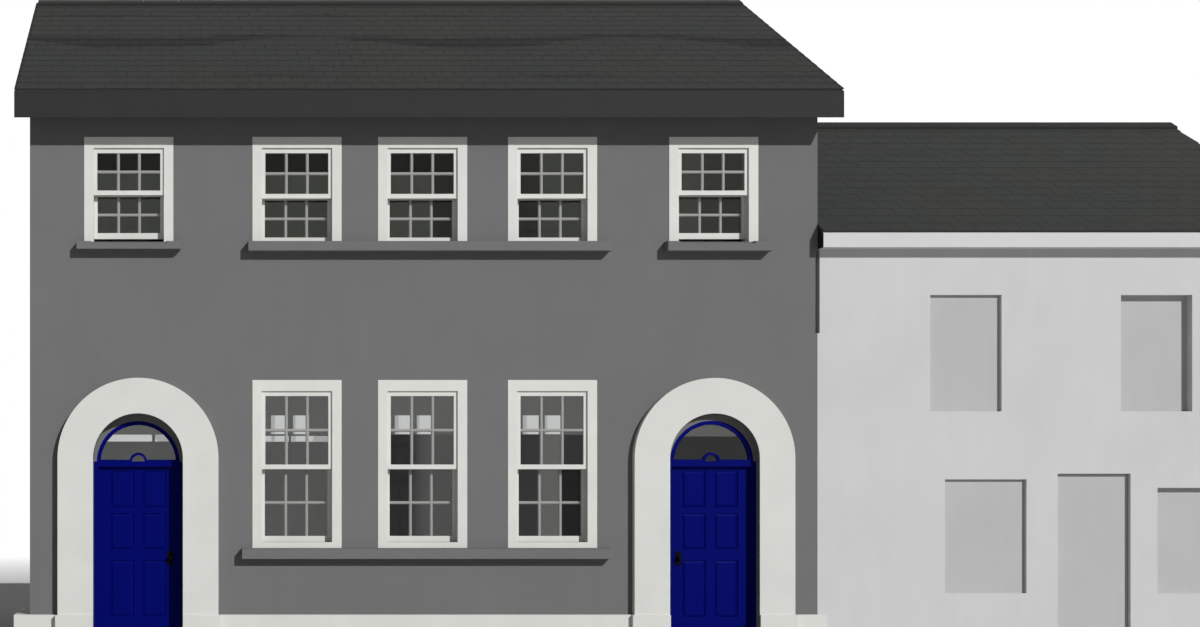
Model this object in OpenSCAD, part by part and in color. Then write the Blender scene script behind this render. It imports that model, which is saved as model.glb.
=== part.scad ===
// Terraced house row: a two-storey rendered house with two arched front doors
// under one slate roof, and a lower white two-storey house joined to its right end.
// Millimetres, +Z up, front towards -Y. Origin at the bottom centre of the row.
// Inside the modules X runs from the grey house's left corner, Y from the face
// of the front walls, and place() moves all of it to the origin.

/* [Row] */
// Depth from front wall face to rear wall face
house_d = 5520; // [5200:10:6400]
// Thickness of the outer walls and of the party wall
wall_t = 300; // [260:10:360]
// Height of the ground floor and of the door thresholds
floor_z = 150; // [100:10:180]
// Thickness of the upper floors
floor_t = 220; // [180:10:260]
// Depth of the roof deck, measured upright
deck_h = 178; // [120:2:220]
// Depth of the slates and battens, measured upright
slate_h = 36; // [24:2:50]
// Slates' reach past the eaves board
slate_reach = 6; // [2:1:30]
// Depth of the ridge tiles, measured upright
ridge_h = 30; // [20:1:44]
// Length of each wing of a ridge tile along the slope
ridge_leg = 170; // [140:5:220]

/* [Grey house] */
// Length of the grey house along the front
grey_w = 8950; // [8900:10:9400]
// Top of the slates at the eaves
grey_eaves_z = 6290; // [6280:5:6500]
// Height of the eaves boards and barge boards with the slates over them
grey_eaves_h = 330; // [300:5:380]
// Top of the ridge tiles
grey_ridge_z = 8280; // [8000:10:8600]
// Eaves boards' reach in front of the wall
grey_eaves_reach = 370; // [320:5:420]
// Roof's reach past the end walls
verge_reach = 145; // [120:5:200]
// Thickness of the eaves boards and barge boards
board_t = 25; // [20:1:35]
// Top of the grey upper floor
grey_floor_z = 3850; // [3700:10:4000]
// Top of the ground storey's front wall pieces
grey_split_z = 3300; // [3250:10:3400]
// Ridge tiles' set-back from the verge
ridge_back = 30; // [0:5:60]

/* [Doorways] */
// Left doorway's middle from the left corner
left_door_x = 1229; // [1150:1:1300]
// Right doorway's middle from the right corner
right_door_in = 1195; // [1150:1:1300]
// Radius of the arch, half the doorway's width
arch_r = 506; // [480:1:530]
// Height of the arch's springing line
spring_z = 2176; // [2170:1:2240]
// Width of the door surround's band
band_w = 404; // [360:1:430]
// Left surround's reach in front of the wall
left_reach = 112; // [70:1:130]
// Right surround's reach in front of the wall
right_reach = 88; // [70:1:130]
// Base block's extra width and reach
base_step = 26; // [15:1:35]
// Arched wall piece's margin beside the arch
arch_margin = 200; // [150:10:250]
// Left door frame's set-back from the wall face
left_frame_back = 95; // [60:5:120]
// Right door frame's set-back from the wall face
right_frame_back = 22; // [15:1:60]
// Depth of the stops in front of the leaves
stop_d = 48; // [40:1:60]
// Width seen inside the door frame
stop_w = 896; // [860:2:910]
// Frame's lap over the leaf's edges
stop_lap = 8; // [6:1:12]
// Thickness of the door leaves
leaf_t = 45; // [40:1:55]
// Gap round a leaf that moves
door_gap = 7; // [6.5:0.5:9]
// Gap under a leaf
sill_gap = 10; // [8:1:15]
// Radius of the hinge barrels
barrel_r = 8; // [6:0.5:9]
// Height of a hinge
hinge_h = 100; // [75:5:125]
// Underside of the transom
transom_z = 2085; // [2070:1:2095]
// Top of the transom
transom_top = 2147; // [2140:1:2165]
// Middle of the fanlight's ring
ring_z = 2134; // [2120:1:2140]
// Outer radius of that ring
ring_r = 474; // [455:1:480]
// Width of that ring
ring_w = 44; // [30:1:54]
// Outer radius of the small half ring on the transom
hub_r = 100; // [80:1:110]
// Width of the small half ring
hub_w = 28; // [20:1:34]
// Height of the strip between the rings
fan_rail_h = 19; // [10:1:24]
// Depth of both rings
ring_d = 60; // [50:1:80]
// Height of the door handles
handle_z = 1040; // [980:5:1100]
// Handle's distance from the leaf's edge
handle_in = 92; // [80:1:110]

/* [Plinth] */
// Height of the plinth and the base blocks
plinth_h = 405; // [360:5:440]
// Plinth's reach in front of the walls
plinth_reach = 55; // [45:1:65]
// Plinth's reach past the left end wall
plinth_end = 180; // [140:5:200]
// Plinth's reach across the party line
plinth_lap = 80; // [40:5:120]

/* [Sash windows] */
// Width over the architraves
window_w = 1014; // [960:2:1040]
// Width of the architrave band
trim_w = 84; // [75:1:95]
// Architrave's reach in front of the wall
trim_reach = 5; // [3:1:30]
// Thickness of the box lining at the sides
lining_t = 25; // [20:1:35]
// Thickness of the box lining at the head
head_t = 43; // [25:1:50]
// Depth of the box lining in the wall
lining_d = 190; // [180:5:220]
// Upper sash's set-back from the wall face
sash_back = 19; // [5:1:40]
// Lower sash's set-back from the wall face
low_sash_back = 112; // [100:1:125]
// Thickness of a sash
sash_t = 42; // [38:1:46]
// Width of the sash stiles
stile_w = 40; // [36:1:50]
// Height of the top rails
top_rail_h = 54; // [45:1:65]
// Height of the bottom rails
bottom_rail_h = 69; // [60:1:85]
// Height of the meeting rails
meeting_h = 53; // [45:1:60]
// Glass thickness
glass_t = 6; // [4:1:8]
// Middle of the left single window from the left corner
single_left = 1123; // [1100:1:1180]
// Middle of the right single window from the right corner
single_right = 1180; // [1120:1:1200]
// Wall from the left doorway to the first window, before the four share the house's length
pier_1 = 363; // [330:1:410]
// Wall from the first to the second window
pier_2 = 413; // [380:1:460]
// Wall from the second to the third window
pier_3 = 462; // [430:1:510]
// Wall from the third window to the right doorway
pier_4 = 374; // [330:1:410]
// Bottom of the upper windows
upper_z = 4638; // [4600:1:4700]
// Height of the upper windows over the architraves
upper_h = 1194; // [1150:2:1220]
// Bottom of the lower windows
lower_z = 1160; // [1100:5:1200]
// Height of the lower windows over the architraves
lower_h = 1909; // [1850:1:1940]
// Gap left under the raised sashes of the single windows
raised = 51; // [20:1:80]
// Top of the meeting rails over the bottom of the upper windows in the row
upper_meet = 550; // [520:1:600]
// Top of the meeting rails over the bottom of the single windows
single_meet = 588; // [550:1:620]
// Top of the meeting rails over the bottom of the lower windows
lower_meet = 949; // [900:1:1000]
// Base member of the lower windows
lower_base = 66; // [50:1:84]

/* [Sills] */
// Height of the window sills
sill_h = 121; // [100:1:130]
// Height of the left single window's sill
left_sill_h = 100; // [90:1:130]
// Sills' reach in front of the wall
sill_reach = 140; // [110:1:160]
// Upper long sill's reach past the first window
upper_sill_left = 54; // [40:1:140]
// Upper long sill's reach past the third window
upper_sill_right = 132; // [40:1:160]
// Lower long sill's reach past the first window
lower_sill_left = 124; // [40:1:140]
// Lower long sill's reach past the third window
lower_sill_right = 140; // [40:1:160]
// Left single sill's reach past its window's sides
single_side = 81; // [60:1:110]
// Right single sill's reach past its window's left side
right_sill_left = 54; // [40:1:110]
// Right single sill's reach past its window's right side
right_sill_right = 115; // [60:1:130]
// Fall of a sill's top towards its front
sill_fall = 12; // [4:1:20]
// Fall of the single sills between their level ends
stool_fall = 41; // [20:1:50]
// Width and depth of the drip groove under a sill
drip = 10; // [6:1:14]

/* [White house] */
// Length of the white house along the front
white_w = 5770; // [5700:10:6400]
// Top of its eaves box
white_eaves_z = 4713; // [4690:1:4780]
// Height of its eaves box
white_eaves_h = 161; // [140:1:200]
// Eaves box's reach in front of the wall
white_eaves_reach = 155; // [100:1:180]
// Top of its ridge tiles
white_ridge_z = 6675; // [6500:5:6900]
// Top of its upper floor
white_floor_z = 2400; // [2350:10:2450]
// Set-back of the blank window panels on the left
blank_back = 46; // [35:1:60]
// Set-back of the upper blank panel on the right
deep_back = 100; // [80:1:120]
// Set-back of the lower blank panel on the right
low_deep_back = 85; // [60:1:100]
// Thickness of the blank panels
blank_t = 60; // [50:1:80]
// Set-back of the door
white_door_back = 55; // [40:1:70]
// Doorway's left side from the party line
white_door_x = 2730; // [2700:5:2760]
// Width of its doorway
white_door_w = 828; // [800:1:840]
// Top of its doorway
white_door_z = 2005; // [1990:1:2040]
// Depth of the rebate round the doorway's inner part
rebate = 50; // [40:1:70]
// Its door's lap behind the wall's edges
white_lap = 15; // [10:1:20]
// Width of the upper blank windows
blank_up_w = 810; // [760:2:840]
// Height of the upper blank windows
blank_up_h = 1323; // [1280:1:1360]
// Bottom of the upper blank windows
blank_up_z = 2713; // [2680:1:2740]
// Left side of the first upper blank window from the party line
blank_up_x1 = 1282; // [1240:1:1320]
// Left side of the second upper blank window from the party line
blank_up_x2 = 3449; // [3400:1:3500]
// Width of the lower blank windows
blank_low_w = 926; // [880:1:960]
// Bottom of the lower blank windows
blank_low_z = 645; // [600:1:680]
// Height of the left lower blank window
blank_low_h1 = 1295; // [1260:1:1330]
// Height of the right lower blank window
blank_low_h2 = 1199; // [1160:1:1260]
// Left side of the first lower blank window from the party line
blank_low_x1 = 1449; // [1400:1:1500]
// Left side of the second lower blank window from the party line
blank_low_x2 = 3864; // [3820:1:3900]
// Width of the open joint along the party line
joint_w = 50; // [30:1:60]
// Height of that joint under the white eaves box
joint_h = 950; // [800:5:1000]
// Depth of that joint
joint_d = 100; // [60:5:140]

/* [Hidden] */
$fn = 96;
CUT = 1;

ridge_y = house_d / 2;
white_x0 = grey_w;
white_x1 = grey_w + white_w;
row_left = -max(plinth_end, verge_reach);
row_right = white_x1;
row_mid_x = (row_left + row_right) / 2;

right_door_x = grey_w - right_door_in;
doors = [left_door_x, right_door_x];
surround_r = arch_r + band_w;
base_half = surround_r + base_step;
arch_half = arch_r + arch_margin;

// The wall between the doorways, less its three windows, is shared by its four piers
between = right_door_x - left_door_x - 2 * base_half - 3 * window_w;
share = between / (pier_1 + pier_2 + pier_3 + pier_4);
trio_1 = left_door_x + base_half + pier_1 * share + window_w / 2;
trio_2 = trio_1 + window_w + pier_2 * share;
trio = [trio_1, trio_2, trio_2 + window_w + pier_3 * share];
singles = [single_left, grey_w - single_right];
upper_top = upper_z + upper_h;
lower_top = lower_z + lower_h;

// One row per window: middle, bottom, top, height of its base member,
// top of its meeting rails, bottom of its lower sash
function upper_row(x) = [x, upper_z, upper_top, 0, upper_z + upper_meet, upper_z];
function lower_row(x) = [x, lower_z, lower_top, lower_base, lower_z + lower_meet,
                         lower_z + lower_base];
windows = concat(
    [for (x = singles) [x, upper_z, upper_top, 0, upper_z + single_meet, upper_z + raised]],
    [for (x = trio) upper_row(x)],
    [for (x = trio) lower_row(x)]);
rear_windows = concat([for (x = concat(singles, trio)) upper_row(x)],
                      [for (x = trio) lower_row(x)]);

// Blank openings of the white house: left side, bottom, width, height, set-back
blanks_up = [[white_x0 + blank_up_x1, blank_up_z, blank_up_w, blank_up_h, blank_back],
             [white_x0 + blank_up_x2, blank_up_z, blank_up_w, blank_up_h, deep_back]];
blanks_low = [[white_x0 + blank_low_x1, blank_low_z, blank_low_w, blank_low_h1, blank_back],
              [white_x0 + blank_low_x2, blank_low_z, blank_low_w, blank_low_h2, low_deep_back]];
white_door_x0 = white_x0 + white_door_x;
white_door_x1 = white_door_x0 + white_door_w;

// Slack where sloping faces meet, too small to see, and the slates' depth over it
SLACK = 0.03;
slate_t = slate_h - SLACK;

// Roof planes: top of the slates at depth y, front half
grey_soffit_z = grey_eaves_z - grey_eaves_h;
white_soffit_z = white_eaves_z - white_eaves_h;
grey_pitch = (grey_ridge_z - ridge_h - grey_eaves_z) / (ridge_y + grey_eaves_reach);
function grey_top(y) = grey_eaves_z + (y + grey_eaves_reach) * grey_pitch;
function grey_under(y) = grey_top(y) - slate_h - deck_h;
function grey_head(y) = grey_under(y) - SLACK;

white_pitch = (white_ridge_z - ridge_h - white_eaves_z - slate_h) / (ridge_y + white_eaves_reach);
function white_top(y) = white_eaves_z + slate_h + (y + white_eaves_reach) * white_pitch;
function white_under(y) = white_top(y) - slate_h - deck_h;
function white_head(y) = white_under(y) - SLACK;

// Depth of a sill's level part, from under the architrave to a drip's width past it
sill_flat = trim_reach + drip;

render_grey = [0.44, 0.44, 0.44];
stone_white = [0.82, 0.83, 0.8];
paint_white = [0.86, 0.87, 0.84];
wall_white = [0.79, 0.79, 0.79];
board_dark = [0.22, 0.22, 0.22];
slate_dark = [0.25, 0.26, 0.25];
door_blue = [0.03, 0.06, 0.4];
iron_black = [0.03, 0.03, 0.03];
glass_tint = [0.3, 0.34, 0.34, 0.6];
timber = [0.55, 0.42, 0.3];

module place() translate([-row_mid_x, -ridge_y, 0]) children();

// The rear repeats the front, mirrored about the ridge
module rear() translate([0, 2 * ridge_y, 0]) mirror([0, 1, 0]) children();

module block(x0, x1, y0, y1, z0, z1) translate([x0, y0, z0]) cube([x1 - x0, y1 - y0, z1 - z0]);

// A profile drawn in Y and Z, drawn out along X
module along_x(x0, x1, points)
    translate([x0, 0, 0]) rotate([90, 0, 90]) linear_extrude(x1 - x0) polygon(points);

// A round bar along Y
module round_bar(cx, z, r, y0, y1)
    translate([cx, y1, z]) rotate([90, 0, 0]) cylinder(h = y1 - y0, r = r);

// The upper half of a round bar that lies along Y on the springing line
module half_round(cx, r, y0, y1) intersection() {
    round_bar(cx, spring_z, r, y0, y1);
    block(cx - r - CUT, cx + r + CUT, y0 - CUT, y1 + CUT, spring_z, spring_z + r + CUT);
}

// A solid with an arched head, standing on z0
module arch_solid(cx, r, z0, y0, y1) {
    block(cx - r, cx + r, y0, y1, z0, spring_z);
    half_round(cx, r, y0, y1);
}

module window_hole(w)
    block(w[0] - window_w / 2 + trim_w, w[0] + window_w / 2 - trim_w, -CUT, wall_t + CUT,
          w[1] + w[3], w[2] - trim_w);

module blank_hole(b) block(b[0], b[0] + b[2], -CUT, wall_t + CUT, b[1], b[1] + b[3]);

// Grey house: walls

module grey_front_piers() place() color(render_grey) {
    block(0, left_door_x - arch_r, 0, wall_t, 0, spring_z);
    block(0, left_door_x - arch_half, 0, wall_t, spring_z, grey_split_z);
    block(right_door_x + arch_r, grey_w, 0, wall_t, 0, spring_z);
    block(right_door_x + arch_half, grey_w, 0, wall_t, spring_z, grey_split_z);
}

module grey_front_middle() place() color(render_grey) difference() {
    union() {
        block(left_door_x + arch_r, right_door_x - arch_r, 0, wall_t, 0, spring_z);
        block(left_door_x + arch_half, right_door_x - arch_half, 0, wall_t, spring_z, grey_split_z);
    }
    for (w = windows) if (w[1] == lower_z) window_hole(w);
}

module grey_front_arches() place() color(render_grey)
    for (cx = doors) difference() {
        block(cx - arch_half, cx + arch_half, 0, wall_t, spring_z, grey_split_z);
        arch_solid(cx, arch_r, floor_z, -CUT, wall_t + CUT);
    }

module upper_wall(z0) along_x(0, grey_w,
    [[0, z0], [wall_t, z0], [wall_t, grey_head(wall_t)], [0, grey_head(0)]]);

// The open joint between the two fronts, half of it in each wall
module party_joint() block(grey_w - joint_w / 2, grey_w + joint_w / 2, -CUT, joint_d,
    white_soffit_z - joint_h, white_soffit_z);

module grey_front_upper() place() color(render_grey) difference() {
    upper_wall(grey_split_z);
    for (w = windows) if (w[1] == upper_z) window_hole(w);
    party_joint();
}

module grey_gable(x0, x1) along_x(x0, x1,
    [[wall_t, 0], [house_d - wall_t, 0], [house_d - wall_t, grey_head(wall_t)],
     [ridge_y, grey_head(ridge_y)], [wall_t, grey_head(wall_t)]]);

module grey_end_wall() place() color(render_grey) grey_gable(0, wall_t);

module party_wall() place() color(render_grey) grey_gable(grey_w - wall_t, grey_w);

module grey_rear_wall() place() color(render_grey) rear() difference() {
    upper_wall(0);
    for (w = rear_windows) window_hole(w);
}

// Floors and thresholds

module ground_floors() place() color(timber) {
    block(wall_t, grey_w - wall_t, wall_t, house_d - wall_t, 0, floor_z);
    block(white_x0, white_x1 - wall_t, wall_t, house_d - wall_t, 0, floor_z);
}

module upper_floors() place() color(timber) {
    block(wall_t, grey_w - wall_t, wall_t, house_d - wall_t, grey_floor_z - floor_t, grey_floor_z);
    block(white_x0, white_x1 - wall_t, wall_t, house_d - wall_t,
          white_floor_z - floor_t, white_floor_z);
}

module thresholds() place() color(stone_white) {
    for (cx = doors) block(cx - arch_r, cx + arch_r, 0, wall_t, 0, floor_z);
    block(white_door_x0, white_door_x1, 0, wall_t, 0, floor_z);
}

// Plinth and door surrounds

module plinth() place() color(stone_white) {
    block(-plinth_end, left_door_x - base_half, -plinth_reach, 0, 0, plinth_h);
    block(-plinth_end, 0, 0, house_d, 0, plinth_h);
    block(-plinth_end, grey_w, house_d, house_d + plinth_reach, 0, plinth_h);
    block(left_door_x + base_half, right_door_x - base_half, -plinth_reach, 0, 0, plinth_h);
    block(right_door_x + base_half, grey_w + plinth_lap, -plinth_reach, 0, 0, plinth_h);
}

module surround(cx, reach) difference() {
    union() {
        arch_solid(cx, surround_r, 0, -reach, 0);
        block(cx - base_half, cx + base_half, -reach - base_step, 0, 0, plinth_h);
    }
    arch_solid(cx, arch_r, -CUT, -reach - base_step - CUT, CUT);
}

module door_surrounds() place() color(stone_white) {
    surround(left_door_x, left_reach);
    surround(right_door_x, right_reach);
}

// Door frames, fanlights and door leaves

frame_d = stop_d + door_gap + leaf_t;
leaf_in = stop_d + door_gap;
leaf_w = stop_w + 2 * stop_lap;
leaf_z0 = floor_z + sill_gap;
leaf_z1 = transom_z + stop_lap;
doorways = [[left_door_x, left_frame_back], [right_door_x, right_frame_back]];

// The part over the transom of a disc about the height z, and of a ring
module fan_disc(cx, z, r, y0, y1) intersection() {
    round_bar(cx, z, r, y0, y1);
    block(cx - r - CUT, cx + r + CUT, y0 - CUT, y1 + CUT, transom_top, z + r + CUT);
}

module fan_ring(cx, z, r, w, y0, y1) difference() {
    fan_disc(cx, z, r, y0, y1);
    round_bar(cx, z, r - w, y0 - CUT, y1 + CUT);
}

// The strip on the transom between the small half ring and the large ring
module fan_rail(cx, y0, y1) difference() {
    block(cx - ring_r + ring_w, cx + ring_r - ring_w, y0, y1, transom_top,
          transom_top + fan_rail_h);
    round_bar(cx, transom_top, hub_r - hub_w, y0 - CUT, y1 + CUT);
}

// Jambs and transom, rebated for the leaf, with both rings over them
module door_frame(cx, y0) {
    difference() {
        block(cx - arch_r, cx + arch_r, y0, y0 + frame_d, floor_z, transom_top);
        block(cx - stop_w / 2, cx + stop_w / 2, y0 - CUT, y0 + stop_d + CUT,
              floor_z - CUT, transom_z);
        block(cx - leaf_w / 2 - door_gap, cx + leaf_w / 2 + door_gap,
              y0 + stop_d, y0 + frame_d + CUT, floor_z - CUT, leaf_z1 + door_gap);
    }
    fan_ring(cx, ring_z, ring_r, ring_w, y0, y0 + ring_d);
    fan_ring(cx, transom_top, hub_r, hub_w, y0, y0 + (ring_d - glass_t) / 2);
    fan_rail(cx, y0, y0 + (ring_d - glass_t) / 2);
}

module door_frames() place() color(door_blue) for (d = doorways) door_frame(d[0], d[1]);

module fanlight_glass() place() color(glass_tint) for (d = doorways) {
    y0 = d[1] + (ring_d - glass_t) / 2;
    fan_disc(d[0], ring_z, ring_r - ring_w, y0, y0 + glass_t);
}

// Plaster that closes the arch round the fanlight's ring
module fanlight_rims() place() color(render_grey) for (d = doorways) difference() {
    arch_solid(d[0], arch_r, transom_top, d[1], d[1] + ring_d);
    round_bar(d[0], ring_z, ring_r, d[1] - CUT, d[1] + ring_d + CUT);
}

// Six panels: two columns, three rows, each a sunk ground with a bevelled field
panel_side = 137;
panel_mid = 101;
panel_rows = [[204, 857], [976, 1395], [1455, 1880]];
panel_sunk = 12;
field_in = 8;
bevel_w = 26;
field_rise = 12;

// A raised field with mitred bevels, its outer face at depth y
module field(x0, x1, z0, z1, y0, y1) intersection() {
    translate([0, 0, z0]) linear_extrude(z1 - z0)
        polygon([[x0, y1], [x0 + bevel_w, y0], [x1 - bevel_w, y0], [x1, y1]]);
    along_x(x0, x1, [[y1, z0], [y0, z0 + bevel_w], [y0, z1 - bevel_w], [y1, z1]]);
}

module leaf_panels(cut) {
    pw = (leaf_w - 2 * panel_side - panel_mid) / 2;
    for (col = [0, 1], r = panel_rows) {
        x = panel_side + col * (pw + panel_mid);
        if (cut) block(x, x + pw, -CUT, panel_sunk, r[0], r[1]);
        else field(x + field_in, x + pw - field_in, r[0] + field_in, r[1] - field_in,
                   panel_sunk - field_rise, panel_sunk);
    }
}

// Three hinges on a leaf's inner face: a strap and a barrel on the pivot line
strap_w = 45;
strap_t = 3;
pivot_in = 2;
hinge_ends = 0.12;

module hinges(height) for (part = [hinge_ends, 0.5, 1 - hinge_ends])
    translate([pivot_in, leaf_t, part * height - hinge_h / 2]) {
        cube([strap_w, strap_t, hinge_h]);
        translate([0, barrel_r, 0]) cylinder(h = hinge_h, r = barrel_r);
    }

// A leaf with its lower hinged front corner at the origin
module leaf() {
    hinges(leaf_z1 - leaf_z0);
    difference() {
        cube([leaf_w, leaf_t, leaf_z1 - leaf_z0]);
        leaf_panels(true);
        translate([0, leaf_t, 0]) mirror([0, 1, 0]) leaf_panels(true);
    }
    leaf_panels(false);
    translate([0, leaf_t, 0]) mirror([0, 1, 0]) leaf_panels(false);
}

// A round knob on a tall plate, on the face that looks outwards
plate_w = 64;
plate_h = 160;
plate_t = 6;
stem_r = 11;
knob_r = 28;
knob_reach = 62;

module handle() {
    translate([-plate_w / 2, -plate_t, -plate_h / 2]) cube([plate_w, plate_t, plate_h]);
    translate([0, -plate_t, 0]) rotate([90, 0, 0])
        cylinder(h = knob_reach - plate_t - knob_r, r = stem_r);
    translate([0, -knob_reach + knob_r, 0]) sphere(r = knob_r, $fn = 32);
}

module left_door() place() color(door_blue)
    translate([left_door_x - leaf_w / 2, left_frame_back + leaf_in, leaf_z0]) leaf();

module right_door() place() color(door_blue)
    translate([right_door_x + leaf_w / 2, right_frame_back + leaf_in, leaf_z0])
        mirror([1, 0, 0]) leaf();

module left_door_handle() place() color(iron_black)
    translate([left_door_x + leaf_w / 2 - handle_in, left_frame_back + leaf_in, handle_z]) handle();

module right_door_handle() place() color(iron_black)
    translate([right_door_x - leaf_w / 2 + handle_in, right_frame_back + leaf_in, handle_z]) handle();

// Sash windows

// A frame with no base member is open at its foot
module window_frame(w) {
    x0 = w[0] - window_w / 2;
    x1 = w[0] + window_w / 2;
    foot = w[3] > 0 ? w[1] + w[3] : w[1] - CUT;
    difference() {
        union() {
            block(x0, x1, -trim_reach, 0, w[1], w[2]);
            block(x0 + trim_w, x1 - trim_w, 0, lining_d, w[1] + w[3], w[2] - trim_w);
        }
        block(x0 + trim_w + lining_t, x1 - trim_w - lining_t, -trim_reach - CUT, lining_d + CUT,
              foot, w[2] - trim_w - head_t);
    }
}

module sash(w, y, z0, z1, bottom_h, top_h) {
    half = window_w / 2 - trim_w - lining_t;
    difference() {
        block(w[0] - half, w[0] + half, y, y + sash_t, z0, z1);
        block(w[0] - half + stile_w, w[0] + half - stile_w, y - CUT, y + sash_t + CUT,
              z0 + bottom_h, z1 - top_h);
    }
}

module top_sash(w)
    sash(w, sash_back, w[4] - meeting_h, w[2] - trim_w - head_t, meeting_h, top_rail_h);

module bottom_sash(w) sash(w, low_sash_back, w[5], w[4], bottom_rail_h, meeting_h);

module sash_panes(w) {
    half = window_w / 2 - trim_w - lining_t - stile_w;
    inset = (sash_t - glass_t) / 2;
    block(w[0] - half, w[0] + half, sash_back + inset, sash_back + inset + glass_t,
          w[4], w[2] - trim_w - head_t - top_rail_h);
    block(w[0] - half, w[0] + half, low_sash_back + inset, low_sash_back + inset + glass_t,
          w[5] + bottom_rail_h, w[4] - meeting_h);
}

module window_frames() place() color(paint_white) for (w = windows) window_frame(w);

module top_sashes() place() color(paint_white) for (w = windows) top_sash(w);

module bottom_sashes() place() color(paint_white) for (w = windows) bottom_sash(w);

module window_glass() place() color(glass_tint) for (w = windows) sash_panes(w);

module rear_window_frames() place() color(paint_white) rear()
    for (w = rear_windows) window_frame(w);

module rear_sashes() place() color(paint_white) rear() for (w = rear_windows) {
    top_sash(w);
    bottom_sash(w);
}

module rear_glass() place() color(glass_tint) rear() for (w = rear_windows) sash_panes(w);

// Sills

// Level under the architrave, then falling to the front, with a drip groove underneath
module sill(x0, x1, z, height) {
    low = z - height;
    along_x(x0, x1, [[0, low], [0, z], [-sill_flat, z], [-sill_reach, z - sill_fall],
        [-sill_reach, low], [-sill_reach + drip, low], [-sill_reach + drip, low + drip],
        [-sill_reach + 2 * drip, low + drip], [-sill_reach + 2 * drip, low]]);
}

// A single window's sill, with its ends left as stools under the architrave's legs
module stooled_sill(cx, left, right, height) {
    front = -sill_reach - CUT;
    fall = stool_fall * (sill_reach + CUT - sill_flat) / (sill_reach - sill_flat);
    difference() {
        sill(cx - window_w / 2 - left, cx + window_w / 2 + right, upper_z, height);
        along_x(cx - window_w / 2 + trim_w, cx + window_w / 2 - trim_w,
            [[-sill_flat, upper_z], [front, upper_z - fall], [front, upper_z + CUT],
             [-sill_flat, upper_z + CUT]]);
    }
}

module long_sill(left, right, z)
    sill(trio[0] - window_w / 2 - left, trio[2] + window_w / 2 + right, z, sill_h);

module upper_sill_set() {
    long_sill(upper_sill_left, upper_sill_right, upper_z);
    stooled_sill(singles[0], single_side, single_side, left_sill_h);
    stooled_sill(singles[1], right_sill_left, right_sill_right, sill_h);
}

module upper_sills() place() color(render_grey) upper_sill_set();

module lower_sill() place() color(render_grey)
    long_sill(lower_sill_left, lower_sill_right, lower_z);

module rear_sills() place() color(render_grey) rear() {
    upper_sill_set();
    long_sill(lower_sill_left, lower_sill_right, lower_z);
}

// Grey roof

// A fascia with a soffit board that slopes with the roof up to the wall
module eaves_boards(x0, x1) {
    y0 = -grey_eaves_reach;
    y1 = y0 + board_t;
    soffit = grey_eaves_h - board_t;
    along_x(x0, x1, [[y0, grey_soffit_z], [0, grey_top(0) - grey_eaves_h],
        [0, grey_top(0) - soffit], [y1, grey_top(y1) - soffit],
        [y1, grey_top(y1) - slate_h], [y0, grey_top(y0) - slate_h]]);
}

module grey_eaves() place() color(board_dark) {
    eaves_boards(-verge_reach + board_t, grey_w + verge_reach - board_t);
    rear() eaves_boards(-verge_reach + board_t, grey_w + verge_reach - board_t);
}

// Front half of a barge board, from the ridge down to the eaves and back
barge_half = [[ridge_y, grey_top(ridge_y) - slate_h],
    [-grey_eaves_reach, grey_eaves_z - slate_h],
    [-grey_eaves_reach, grey_soffit_z],
    [ridge_y, grey_top(ridge_y) - grey_eaves_h]];
barge_points = concat(barge_half,
    [for (i = [2:-1:1]) [2 * ridge_y - barge_half[i][0], barge_half[i][1]]]);

module barge_board(x0) along_x(x0, x0 + board_t, barge_points);

module grey_barge_boards() place() color(board_dark) {
    barge_board(-verge_reach);
    barge_board(grey_w + verge_reach - board_t);
}

module grey_deck() {
    y0 = -grey_eaves_reach + board_t;
    along_x(-verge_reach + board_t, grey_w + verge_reach - board_t,
        [[y0, grey_top(y0) - slate_h], [ridge_y, grey_top(ridge_y) - slate_h],
         [ridge_y, grey_under(ridge_y)], [y0, grey_under(y0)]]);
}

module grey_roof_front() place() color(timber) grey_deck();

module grey_roof_rear() place() color(timber) rear() grey_deck();

SPLIT = 2;

module grey_slate_slope() {
    y0 = -grey_eaves_reach - slate_reach;
    y1 = ridge_y - SPLIT;
    along_x(-verge_reach, grey_w + verge_reach,
        [[y0, grey_top(y0)], [y1, grey_top(y1)], [y1, grey_top(y1) - slate_t],
         [y0, grey_top(y0) - slate_t]]);
}

module grey_slates() place() color(slate_dark) {
    grey_slate_slope();
    rear() grey_slate_slope();
}

module ridge_run(x0, x1, peak, pitch) {
    run = ridge_leg * cos(atan(pitch));
    low = peak - run * pitch;
    along_x(x0, x1, [[ridge_y - run, low + SLACK], [ridge_y, peak + SLACK], [ridge_y + run, low + SLACK],
        [ridge_y + run, low + ridge_h], [ridge_y, peak + ridge_h], [ridge_y - run, low + ridge_h]]);
}

module ridge_tiles() place() color(slate_dark) {
    ridge_run(-verge_reach + ridge_back, grey_w + verge_reach - ridge_back,
              grey_top(ridge_y), grey_pitch);
    ridge_run(white_x0, white_x1, white_top(ridge_y), white_pitch);
}

// White house

// The inner part of the doorway, wider and higher than its front edge
module white_rebate() block(white_door_x0 - rebate, white_door_x1 + rebate,
    white_door_back - door_gap, wall_t + CUT, floor_z, white_door_z + rebate);

module white_front_lower() place() color(wall_white) difference() {
    union() {
        block(white_x0, white_door_x0, 0, wall_t, 0, white_door_z);
        block(white_door_x1, white_x1, 0, wall_t, 0, white_door_z);
    }
    for (b = blanks_low) blank_hole(b);
    white_rebate();
}

module white_wall(z0) along_x(white_x0, white_x1,
    [[0, z0], [wall_t, z0], [wall_t, white_head(wall_t)], [0, white_head(0)]]);

module white_front_upper() place() color(wall_white) difference() {
    white_wall(white_door_z);
    for (b = blanks_up) blank_hole(b);
    white_rebate();
    party_joint();
}

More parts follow.
